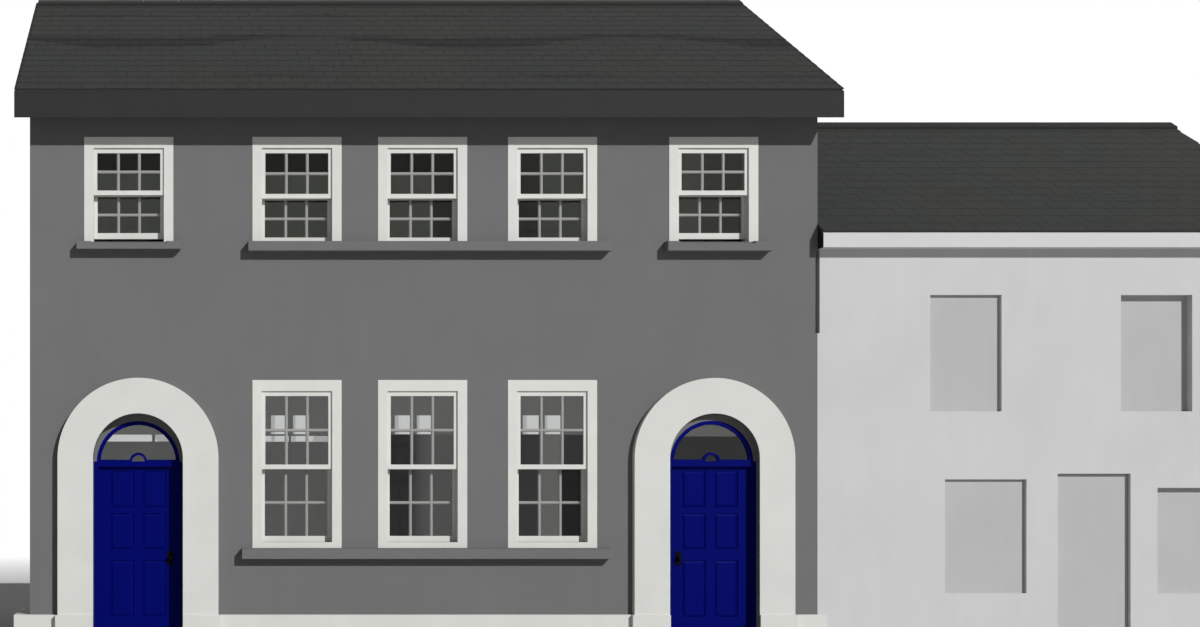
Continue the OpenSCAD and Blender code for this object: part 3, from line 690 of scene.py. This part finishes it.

# Patches of painted reflection and painted room shade in the front's panes, each over those before
# it: left and right end from the house's corner, bottom, top, tone, and the softness of the left
# and right edge
PATCHES = (
    (0.0, 2.0, CEILING_Z, LOW_HEAD_Z, PANE_PAINTED_CLEAR, CRISP),
    (2.0, 7.0, CEILING_Z, LOW_HEAD_Z, PANE_PAINTED_PALE, CRISP),
    (7.0, 9.0, 2.43, LOW_HEAD_Z, PANE_PAINTED_CLEAR, CRISP),
    (7.0, 9.0, 2.0, 2.43, PANE_PAINTED_DIM, CRISP),
    (3.9, 4.46, LOW_SILL_Z, CEILING_Z, PANE_PAINTED_DARK, SOFTEST),
    (4.46, 5.0, LOW_SILL_Z, CEILING_Z, PANE_PAINTED_SOFT, SOFTEST),
    (5.4, 5.83, LOW_SILL_Z, CEILING_Z, PANE_PAINTED_DIM, CRISP),
    (5.83, 6.04, LOW_SILL_Z, CEILING_Z, PANE_PAINTED_CLEAR, CRISP),
    (6.04, 6.5, 2.06, CEILING_Z, PANE_PAINTED_DIM, CRISP),
    (6.04, 6.5, LOW_SILL_Z, 2.06, PANE_PAINTED_BLACK, CRISP),
    (4.58, 5.80, HIGH_SILL_Z, HIGH_HEAD_Z, PANE_PAINTED_DARK, CRISP),
    (0.0, 4.95, 5.44, HIGH_HEAD_Z, PANE_PAINTED_BLACK, CRISP),
    (7.66, 9.0, HIGH_SILL_Z, HIGH_HEAD_Z, PANE_PAINTED_DIM, SOFTER),
)


def pane_tone(tint, tone):
    """The glass's own colour where that tone is to show, as both faces of a pane send it back."""
    return tinted(tint, (tone - BEHIND_GLASS) / GLASS_SEEN)


def glass(name, patches):
    """Old window glass: partly see-through and slightly wavy, with painted reflections and painted
    room shade as its tones.
    """
    made, tree, shader = start(name, GLASS_SPECULAR, GLASS_ROUGH)
    shader.inputs["Metallic"].default_value = 1.0
    shader.inputs["Alpha"].default_value = GLASS_ALPHA
    place = place_of(tree)
    axis = axes_of(tree)
    # Painted pane tones: one for the ground storey and one above, then the patches of painted
    # reflection and shade over them
    storey = maths(tree, "GREATER_THAN", axis["Z"], STOREY_Z)
    seen = blend(tree, storey, pane_tone(TINT_LOW, PANE_PAINTED_MID), pane_tone(TINT_HIGH, PANE_PAINTED_DUSK))
    for left, right, bottom, top, tone, edge in patches:
        across = band(tree, axis["X"], CORNER_X + left, CORNER_X + right, edge)
        up = band(tree, axis["Z"], bottom, top, CRISP)
        tint = TINT_LOW if top < STOREY_Z else TINT_HIGH
        seen = blend(tree, maths(tree, "MULTIPLY", across, up), seen, pane_tone(tint, tone))
    film = noise(tree, place, FILM_SCALE)
    paint(tree, shader, times(tree, seen, drawn_out(tree, film, *FILM_TONES)))
    relief(tree, shader, noise(tree, place, WAVE_SCALE, detail=1.0), WAVE_DEPTH, strength=0.3)
    sheen(tree, shader, film, *GLASS_ROUGHS)
    return made


# The materials: one for each of the record's slots, and others for single nodes and pieces

MATERIALS = {
    "grey_render": masonry("grey_wall_paint", GREY_WALL),
    "white_render": masonry("white_wall_paint", WHITE_WALL),
    "stone_paint": painted_stone("stone_paint_white", STONE),
    "timber_white": painted_timber("joinery_paint", JOINERY),
    "board_grey": painted_timber("board_paint", BOARD, specular=0.08, roughness=0.6),
    "slate": slate_material("slate_plain", share=1.0),
    "roof_timber": boards("deck_boards", SOFTWOOD, DECK_BOARD_W),
    "floor_boards": boards("floor_board_wood", FLOORING, FLOOR_BOARD_W),
    "ground_slab": concrete("floated_concrete"),
    "door_blue": painted_timber("door_paint", BLUE, specular=0.03, roughness=0.4),
    "black_iron": ironwork("black_ironwork"),
    "window_glass": glass("old_glass", PATCHES),
}
GREY_ROOF = slate_material("slate_weathered", GREY_SLATE_SHARE, marked=True)
SURROUND_PAINT = painted_stone("surround_paint", STONE, ARCH_REVEAL)
# The cards and rails glow a little as painted light
CARD_PAPER = matt("card_paper", CARD, CARD_GLOW)
# Painted shade: dark sheets behind the windows
SHADE_SHEET = matt("painted_shade_sheet", SHADE_SHEET_TONE)
ROOF_FELT = matt("roof_felt", FELT)
BEDDING = matt("bedding_mortar", MORTAR)
BLANK_PAINT = masonry("blank_paint", BLANK_WALL)
BAR_PAINT = painted_timber("bar_paint", BAR_WHITE)
REAR_GLASS = glass("rear_old_glass", ())
EAVES_PAINT = eaves_paint("eaves_paint", EAVES_WHITE)

OWN_MATERIALS = {
    "door_surrounds": SURROUND_PAINT,
    "white_blank_panels": BLANK_PAINT,
    "white_door": BLANK_PAINT,
    "rear_glass": REAR_GLASS,
    "white_eaves": EAVES_PAINT,
}


def dress(name):
    """Gives a CAD node the material of its own slot, or one of its own."""
    for holder in NODES[name].material_slots:
        holder.material = OWN_MATERIALS.get(name, MATERIALS[holder.material.name])


# Rounded edges on CAD nodes

WELD_GAP = 0.01 * MM
FLAT_DEG = 0.5
SHARP_DEG = 40
EDGE_STEPS = 2
EVEN_WEIGHT = 100
SOFT_EDGES = {
    "door_surrounds": 4 * MM, "plinth": 5 * MM, "thresholds": 5 * MM,
    "upper_sills": 4 * MM, "lower_sill": 4 * MM, "rear_sills": 4 * MM,
    "window_frames": 2.5 * MM, "rear_window_frames": 2.5 * MM,
    "top_sashes": 2 * MM, "bottom_sashes": 2 * MM, "rear_sashes": 2 * MM,
    "grey_barge_boards": 2 * MM, "grey_eaves": 2 * MM, "white_eaves": 3 * MM,
    "door_frames": 2 * MM, "left_door": 1.5 * MM, "right_door": 1.5 * MM, "white_door": 2 * MM,
}
PANELLED = ("left_door", "right_door")


def soften(name, width, evened):
    """Joins the imported facets and rounds the sharp edges, as paint and tools do.

    Where it is evened, large faces set the shading along their edges. That would flatten the
    shallow fields of door panels."""
    node = NODES[name]
    weld = node.modifiers.new("weld", "WELD")
    weld.merge_threshold = WELD_GAP
    plain = node.modifiers.new("plain", "DECIMATE")
    plain.decimate_type = "DISSOLVE"
    plain.angle_limit = math.radians(FLAT_DEG)
    bevel = node.modifiers.new("bevel", "BEVEL")
    bevel.width = width
    bevel.segments = EDGE_STEPS
    bevel.limit_method = "ANGLE"
    bevel.angle_limit = math.radians(SHARP_DEG)
    bevel.use_clamp_overlap = True
    bevel.loop_slide = False
    if evened:
        flat = node.modifiers.new("flat", "WEIGHTED_NORMAL")
        flat.keep_sharp = False
        flat.weight = EVEN_WEIGHT


# Mesh building

X_AXIS = 0
Y_AXIS = 1
Z_AXIS = 2
EASED = 2 * MM


def solid_of(verts, faces, first, last):
    """Adds a closed solid between two rings of equally many points."""
    base = len(verts)
    count = len(first)
    verts.extend(first)
    verts.extend(last)
    faces.append(tuple(base + i for i in reversed(range(count))))
    faces.append(tuple(base + count + i for i in range(count)))
    for i in range(count):
        j = (i + 1) % count
        faces.append((base + i, base + j, base + count + j, base + count + i))


def prism(verts, faces, outline, axis, begin, end):
    """Adds an outline in the other two axes, drawn out along an axis."""
    rings = []
    for reach in (begin, end):
        rings.append([point[:axis] + (reach,) + point[axis:] for point in outline])
    solid_of(verts, faces, rings[0], rings[1])


def box_into(verts, faces, low, high):
    """Adds a box whose four edges along Y are chamfered."""
    left, front, bottom = low
    right, back, top = high
    outline = [(left + EASED, bottom), (right - EASED, bottom),
               (right, bottom + EASED), (right, top - EASED),
               (right - EASED, top), (left + EASED, top),
               (left, top - EASED), (left, bottom + EASED)]
    prism(verts, faces, outline, Y_AXIS, front, back)


def recalculate(made):
    """Turns every face outwards."""
    work = bmesh.new()
    work.from_mesh(made.data)
    bmesh.ops.recalc_face_normals(work, faces=work.faces)
    work.to_mesh(made.data)
    work.free()


def add(name, data):
    """Puts a new object into the scene."""
    made = bpy.data.objects.new(name, data)
    bpy.context.scene.collection.objects.link(made)
    return made


def piece(name, verts, faces, material, tones=None):
    """A new piece of the house, with a tone for each face where it has them."""
    mesh = bpy.data.meshes.new(name)
    mesh.from_pydata(verts, [], faces)
    if tones:
        mesh.attributes.new(TONE_NAME, "FLOAT", "FACE").data.foreach_set("value", tones)
    mesh.validate()
    mesh.materials.append(material)
    made = add(name, mesh)
    recalculate(made)
    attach(made, HOUSE)
    return made


# Slates

SLATE_L = 0.50
SLATE_W = 0.25
SLATE_T = 4.5 * MM
SLATE_GAP = 1.2 * MM
LEAST_W = SLATE_W / 8
GAUGE = 0.215
LEAST_GAUGE = GAUGE / 3
TAIL_LIFT = 10.6 * MM
TAIL_CHAMFER = 2.0 * MM
TAIL_DROP = 1.6 * MM
SIDE_INSET = 1.2 * MM
LIFT_STRAY = 0.6 * MM
TAIL_STRAY = 1.5 * MM
SLATE_STRAY = (0.965, 1.035)
# Painted light: a slate's tail edge gets twice its tone, so it looks as bright as the face that
# the sun strikes more squarely
TAIL_PAINTED_LIGHT = 2.0
EAVES_IN = 20 * MM
BATTEN_T = 13.5 * MM
UNDERLAY_IN = 12 * MM
UNDERLAY_DOWN = 0.5 * MM
GREY_SEED = 11
WHITE_SEED = 23


class Slope:
    """A slope's plane under its slates: from the eaves up to the ridge, left to right."""

    def __init__(self, name, front):
        points = [v.co for v in NODES[name].data.vertices if (v.co.y < 0) == front]
        near = max(abs(p.y) for p in points)
        far = min(abs(p.y) for p in points)
        eaves = [p.z for p in points if abs(abs(p.y) - near) < MM]
        ridge = [p.z for p in points if abs(abs(p.y) - far) < MM]
        self.side = FRONT if front else REAR
        self.left = min(p.x for p in points)
        self.right = max(p.x for p in points)
        self.low = (near, min(eaves))
        run = near - far
        rise = min(ridge) - min(eaves)
        self.length = math.hypot(run, rise)
        self.u = (run / self.length, rise / self.length)

    def at(self, x, s, n):
        """The point s up the slope and n over the deck."""
        y = self.low[0] - s * self.u[0] + n * self.u[1]
        z = self.low[1] + s * self.u[1] + n * self.u[0]
        return (x, self.side * y, z)


def one_slate(verts, faces, slope, x0, x1, s0, s1, n0, n1):
    """A slate with a dressed tail: its underside at n0 by the tail and n1 by the head.

    The second of its seven faces is the tail's edge, which is given a paler tone as painted light."""
    def level(s):
        return n0 + (n1 - n0) * (s - s0) / (s1 - s0)

    base = len(verts)
    for s in (s0, s1):
        verts.append(slope.at(x0, s, level(s)))
        verts.append(slope.at(x1, s, level(s)))
    for s, rise in ((s0, SLATE_T - TAIL_DROP), (s0 + TAIL_CHAMFER, SLATE_T), (s1, SLATE_T)):
        verts.append(slope.at(x0 + SIDE_INSET, s, level(s) + rise))
        verts.append(slope.at(x1 - SIDE_INSET, s, level(s) + rise))
    a, b, c, d, e, f, g, h, i, j = range(base, len(verts))
    faces.extend([(a, b, d, c), (a, b, f, e), (e, f, h, g), (g, h, j, i), (c, d, j, i),
                  (a, e, g, i, c), (b, f, h, j, d)])


def course(rng, verts, faces, tones, slope, s0, s1, n0, n1, shifted):
    """One course across the slope, its joints over the middles of the slates below."""
    x = slope.left - (SLATE_W / 2 if shifted else 0.0)
    while x < slope.right - SLATE_GAP:
        x0 = max(x, slope.left) + SLATE_GAP / 2
        x1 = min(x + SLATE_W, slope.right) - SLATE_GAP / 2
        x += SLATE_W
        if x1 - x0 < LEAST_W:
            continue
        lift = rng.uniform(0.0, LIFT_STRAY)
        tail = s0 + rng.uniform(0.0, TAIL_STRAY)
        one_slate(verts, faces, slope, x0, x1, tail, s1, n0 + lift, n1)
        tone = rng.uniform(*SLATE_STRAY)
        # The tail's edge, second of the faces, gets painted light
        tones.extend([tone, tone * TAIL_PAINTED_LIGHT, tone, tone, tone, tone, tone])


def slate_slope(rng, verts, faces, tones, slope):
    """A short course at the eaves, and the full courses over it up to the ridge."""
    short = SLATE_L - GAUGE
    fall = TAIL_LIFT / SLATE_L
    under = BATTEN_T + TAIL_LIFT - SLATE_T
    course(rng, verts, faces, tones, slope, EAVES_IN, EAVES_IN + short,
           under, under - fall * short, True)
    number = 0
    while EAVES_IN + number * GAUGE < slope.length - LEAST_GAUGE:
        s0 = EAVES_IN + number * GAUGE
        s1 = min(s0 + SLATE_L, slope.length)
        course(rng, verts, faces, tones, slope, s0, s1, BATTEN_T + TAIL_LIFT,
               BATTEN_T + TAIL_LIFT - fall * (s1 - s0), number % 2 == 1)
        number += 1


def underlay(verts, faces, slope):
    """The battens and felt under the slates, as one board."""
    left = slope.left + UNDERLAY_IN
    right = slope.right - UNDERLAY_IN
    corners = [(left, EAVES_IN), (right, EAVES_IN), (right, slope.length), (left, slope.length)]
    over = BATTEN_T - UNDERLAY_DOWN
    solid_of(verts, faces, [slope.at(x, s, 0.0) for x, s in corners],
             [slope.at(x, s, over) for x, s in corners])


def slates(node, name, material, seed):
    """Both slopes of a roof in separate slates, over battens and felt."""
    rng = random.Random(seed)
    verts, faces, tones = [], [], []
    under_verts, under_faces = [], []
    for front in (True, False):
        slope = Slope(node, front)
        slate_slope(rng, verts, faces, tones, slope)
        underlay(under_verts, under_faces, slope)
    made = piece(name, verts, faces, material, tones=tones)
    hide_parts(node)
    piece(name + "_underlay", under_verts, under_faces, ROOF_FELT)


# Ridge tiles

TILE_L = 0.45
TILE_T = 30 * MM
TILE_GAP = 2 * MM
TILE_STRAY = 0.8 * MM
TILE_TONES = (0.96, 1.04)
RIDGE_DARK = 0.72
ROLL_HALF = 12 * MM
ROLL_DOWN = 4 * MM
BED_IN = 3 * MM
BED_W = 45 * MM
BED_DROP = 25 * MM
BED_ENDS = 2 * MM
RIDGE_SEED = 31


def tile_outline(low, high, drop):
    """The section of an angle ridge tile whose peak is lowered by drop."""
    run = high.y
    peak = high.z - TILE_T - drop
    pitch = (high.z - TILE_T - low.z) / run
    wing = low.z + TILE_T
    side = peak + TILE_T - pitch * ROLL_HALF
    crown = peak + TILE_T - pitch * ROLL_DOWN
    return [(-run, low.z), (0, peak), (run, low.z), (run, wing),
            (ROLL_HALF, side), (0, crown), (-ROLL_HALF, side), (-run, wing)]


def ridge_tiles():
    """Angle ridge tiles end to end, each a little out of line with the next."""
    rng = random.Random(RIDGE_SEED)
    verts, faces, tones = [], [], []
    for low, high in solids("ridge_tiles"):
        count = round((high.x - low.x) / TILE_L)
        step = (high.x - low.x) / count
        for i in range(count):
            drop = rng.uniform(0.0, TILE_STRAY)
            x0 = low.x + i * step + (TILE_GAP / 2 if i else 0.0)
            x1 = low.x + (i + 1) * step - (TILE_GAP / 2 if i < count - 1 else 0.0)
            before = len(faces)
            prism(verts, faces, tile_outline(low, high, drop), X_AXIS, x0, x1)
            tones.extend([RIDGE_DARK * rng.uniform(*TILE_TONES)] * (len(faces) - before))
    made = piece("ridge_tile_run", verts, faces, MATERIALS["slate"], tones=tones)
    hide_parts("ridge_tiles")


def ridge_bedding():
    """Mortar under both wings of the ridge tiles, down to the slates."""
    verts, faces = [], []
    corners = ((BED_IN, 0.0), (BED_IN + BED_W, 0.0), (BED_IN + BED_W, BED_DROP),
               (BED_IN, BED_DROP))
    for low, high in solids("ridge_tiles"):
        pitch = (high.z - TILE_T - low.z) / high.y
        for side in (FRONT, REAR):
            outline = []
            for inward, drop in corners:
                outline.append((side * (high.y - inward), low.z + pitch * inward - drop))
            prism(verts, faces, outline, X_AXIS, low.x + BED_ENDS, high.x - BED_ENDS)
    piece("ridge_bedding", verts, faces, BEDDING)


# Glazing bars

BAR_W = 34 * MM
BAR_NOSE = 16 * MM
BAR_SHOULDER = 0.35
BAR_OUT = 13 * MM
BAR_IN = 15 * MM
LIGHTS_ACROSS = 3
LIGHTS_UP = 2


def bar_outline(reach):
    """The section of a moulded bar, narrowed towards its nose: across, and out from the glass."""
    shoulder = reach * BAR_SHOULDER
    return [(-BAR_W / 2, 0), (-BAR_W / 2, shoulder), (-BAR_NOSE / 2, reach),
            (BAR_NOSE / 2, reach), (BAR_W / 2, shoulder), (BAR_W / 2, 0)]


def upright_bar(verts, faces, x, bottom, top, y_glass, reach):
    outline = [(x + across, y_glass + out) for across, out in bar_outline(reach)]
    prism(verts, faces, outline, Z_AXIS, bottom, top)


def level_bar(verts, faces, z, left, right, y_glass, reach):
    outline = [(y_glass + out, z + across) for across, out in bar_outline(reach)]
    prism(verts, faces, outline, X_AXIS, left, right)


def pane_bars(verts, faces, low, high, faced):
    """Two upright bars and one level bar, in three lengths, on both faces of a pane."""
    width = (high.x - low.x) / LIGHTS_ACROSS
    height = (high.z - low.z) / LIGHTS_UP
    uprights = [low.x + width * i for i in range(1, LIGHTS_ACROSS)]
    stops = [low.x] + uprights + [high.x]
    before = BAR_OUT if faced == FRONT else BAR_IN
    behind = BAR_IN if faced == FRONT else BAR_OUT
    for y_glass, reach in ((low.y, -before), (high.y, behind)):
        for x in uprights:
            upright_bar(verts, faces, x, low.z, high.z, y_glass, reach)
        for i in range(LIGHTS_ACROSS):
            x0 = stops[i] + (BAR_NOSE / 2 if i else 0.0)
            x1 = stops[i + 1] - (BAR_NOSE / 2 if i < LIGHTS_ACROSS - 1 else 0.0)
            for j in range(1, LIGHTS_UP):
                level_bar(verts, faces, low.z + height * j, x0, x1, y_glass, reach)


def glazing_bars(node, name, faced):
    verts, faces = [], []
    for low, high in solids(node):
        pane_bars(verts, faces, low, high, faced)
    piece(name, verts, faces, BAR_PAINT)


# Dark sheets of painted shade, and cards and rails, behind the glass. The rails' breaks are
# measured from the corner.

WALL_T = 0.30
SHADE_SHEET_T = 4 * MM
SHADE_SHEET_GAP = 5 * MM
SHADE_SHEET_LAP = 30 * MM
CARD_W = 0.182
CARD_H = 0.216
CARD_T = 4 * MM
CARD_MID_Z = 2.574
CARD_GAP = 0.072
CARD_LEFT = 0.058
CARD_BACK = 0.265
RAIL_Z = (2.378, 2.446)
RAIL_BREAK = (2.962, 2.990)
RAIL_IN = 0.085
FAN_RAIL_Z = (2.376, 2.454)
FAN_RAIL_BREAK = (1.388, 1.421)
FAN_RAIL_GAP = 1 * MM


def shade_sheets(node, name, faced):
    """A dark sheet over the inner face of the wall behind each window, as painted shade that
    stands for the unlit room.
    """
    verts, faces = [], []
    inner = WALL_FACE[faced] - faced * (WALL_T + SHADE_SHEET_GAP)
    y0, y1 = sorted((inner, inner - faced * SHADE_SHEET_T))
    for low, high in solids(node):
        box_into(verts, faces, (low.x - SHADE_SHEET_LAP, y0, low.z - SHADE_SHEET_LAP),
                 (high.x + SHADE_SHEET_LAP, y1, high.z + SHADE_SHEET_LAP))
    piece(name, verts, faces, SHADE_SHEET)


def low_windows():
    """The boxes of the front's ground-storey windows, from the left."""
    return [box for box in solids("window_frames") if box[0].z < STOREY_Z]


def cards():
    """Two pale cards hung behind each ground-storey window."""
    verts, faces = [], []
    y0 = WALL_FACE[FRONT] + CARD_BACK
    for low, high in low_windows():
        middle = (low.x + high.x) / 2 - CARD_LEFT
        for side in (-1, 1):
            x0 = middle + side * (CARD_GAP + CARD_W) / 2 - CARD_W / 2
            box_into(verts, faces, (x0, y0, CARD_MID_Z - CARD_H / 2),
                     (x0 + CARD_W, y0 + CARD_T, CARD_MID_Z + CARD_H / 2))
    piece("window_cards", verts, faces, CARD_PAPER)


def window_rail(verts, faces):
    """A pale rail in two lengths across the first ground-storey window."""
    low, high = low_windows()[0]
    y0 = WALL_FACE[FRONT] + CARD_BACK
    for left, right in ((low.x + RAIL_IN, CORNER_X + RAIL_BREAK[0]),
                        (CORNER_X + RAIL_BREAK[1], high.x - RAIL_IN)):
        box_into(verts, faces, (left, y0, RAIL_Z[0]), (right, y0 + CARD_T, RAIL_Z[1]))


def fanlight_rail(verts, faces):
    """A pale rail in two lengths across the left fanlight, cut to its arch."""
    low, high = solids("fanlight_glass")[0]
    radius = (high.x - low.x) / 2
    spring = high.z - radius
    middle = (low.x + high.x) / 2
    bottom, top = FAN_RAIL_Z
    half_low = math.sqrt(radius ** 2 - (bottom - spring) ** 2)
    half_high = math.sqrt(radius ** 2 - (top - spring) ** 2)
    left_end = CORNER_X + FAN_RAIL_BREAK[0]
    right_end = CORNER_X + FAN_RAIL_BREAK[1]
    y0 = high.y + FAN_RAIL_GAP
    for outline in ([(middle - half_low, bottom), (left_end, bottom),
                     (left_end, top), (middle - half_high, top)],
                    [(right_end, bottom), (middle + half_low, bottom),
                     (middle + half_high, top), (right_end, top)]):
        prism(verts, faces, outline, Y_AXIS, y0, y0 + CARD_T)


def rails():
    verts, faces = [], []
    window_rail(verts, faces)
    fanlight_rail(verts, faces)
    piece("pale_rails", verts, faces, CARD_PAPER)


# Floor, light and camera

FLOOR_HALF = 90.0
FLOOR_DOWN = 1 * MM
FLOOR_CLEAR = 16.0
FLOOR_FADE = 34.0
FLOOR_PALE = (0.80, 0.80, 0.80)
FLOOR_NEAR = (0.50, 0.50, 0.50)
FLOOR_OWN = (0.76, 0.76, 0.76)
NEAR_Y = 4.0
OWN_Y = 9.0


def seen_rays(tree):
    """1 for rays from the camera, and for those that metal and glass send on."""
    path = tree.nodes.new("ShaderNodeLightPath")
    on = maths(tree, "MAXIMUM", path.outputs["Is Glossy Ray"], path.outputs["Is Transmission Ray"])
    return maths(tree, "MAXIMUM", path.outputs["Is Camera Ray"], on)


def mix_out(tree, share, first, second, output):
    """Mixes two shaders into the output node of that name."""
    made = tree.nodes.new("ShaderNodeMixShader")
    tree.links.new(share, made.inputs[0])
    tree.links.new(first.outputs[0], made.inputs[1])
    tree.links.new(second.outputs[0], made.inputs[2])
    tree.links.new(made.outputs[0], tree.nodes[output].inputs["Surface"])


def floor_material():
    """Pale to the eye with the row's shadow on it, and white far off.

    To bounced light it is a little darker, and more so close to the row."""
    made, tree, shader = start("pale_floor", 0.0, 1.0)
    seen = seen_rays(tree)
    off = spread(tree, maths(tree, "ABSOLUTE", axes_of(tree)["Y"]), NEAR_Y, OWN_Y)
    bounce = blend(tree, off, FLOOR_NEAR, FLOOR_OWN)
    paint(tree, shader, blend(tree, seen, bounce, FLOOR_PALE))
    glow = tree.nodes.new("ShaderNodeEmission")
    glow.inputs["Strength"].default_value = SHOWN_STRENGTH
    centre = tree.nodes.new("ShaderNodeVectorMath")
    centre.operation = "LENGTH"
    tree.links.new(place_of(tree), centre.inputs[0])
    far = spread(tree, centre.outputs["Value"], FLOOR_CLEAR, FLOOR_FADE)
    mix_out(tree, maths(tree, "MULTIPLY", far, seen), shader, glow, "Material Output")
    return made


def floor():
    h = FLOOR_HALF
    mesh = bpy.data.meshes.new("floor")
    mesh.from_pydata([(-h, -h, 0), (h, -h, 0), (h, h, 0), (-h, h, 0)], [], [(0, 1, 2, 3)])
    mesh.materials.append(floor_material())
    made = add("floor", mesh)
    made.location.z = -FLOOR_DOWN


def sky():
    """Soft even light, which the camera, metal and glass see as white."""
    world = bpy.data.worlds.new("plain_sky")
    bpy.context.scene.world = world
    world.use_nodes = True
    tree = world.node_tree
    lit = tree.nodes["Background"]
    shown = tree.nodes.new("ShaderNodeBackground")
    for background, strength in ((lit, SKY_STRENGTH), (shown, SHOWN_STRENGTH)):
        background.inputs["Color"].default_value = WHITE
        background.inputs["Strength"].default_value = strength
    mix_out(tree, seen_rays(tree), lit, shown, "World Output")


def sun():
    lamp = bpy.data.lights.new("sun", "SUN")
    lamp.energy = SUN_STRENGTH
    lamp.angle = math.radians(SUN_ANGLE_DEG)
    made = add("sun", lamp)
    made.rotation_mode = "QUATERNION"
    made.rotation_quaternion = Vector(SUN_TRAVELS).to_track_quat("-Z", "Y")


def camera():
    lens = bpy.data.cameras.new("camera")
    lens.sensor_width = SENSOR_MM
    lens.lens = LENS_MM
    lens.shift_x = SHIFT_X
    lens.shift_y = SHIFT_Y
    lens.clip_end = CLIP_END
    made = add("camera", lens)
    made.location = EYE
    made.rotation_euler = (math.radians(LEVEL_DEG), 0.0, 0.0)
    bpy.context.scene.camera = made


camera()
sun()
sky()
floor()

for node_name in NODES:
    dress(node_name)
for node_name, edge in SOFT_EDGES.items():
    soften(node_name, edge, node_name not in PANELLED)

slates("grey_slates", "grey_slate_courses", GREY_ROOF, GREY_SEED)
slates("white_slates", "white_slate_courses", MATERIALS["slate"], WHITE_SEED)
ridge_tiles()
ridge_bedding()
glazing_bars("window_glass", "glazing_bars", FRONT)
glazing_bars("rear_glass", "rear_glazing_bars", REAR)
shade_sheets("window_frames", "front_shade_sheets", FRONT)
shade_sheets("rear_window_frames", "rear_shade_sheets", REAR)
cards()
rails()

bpy.context.scene.view_settings.view_transform = "Standard"
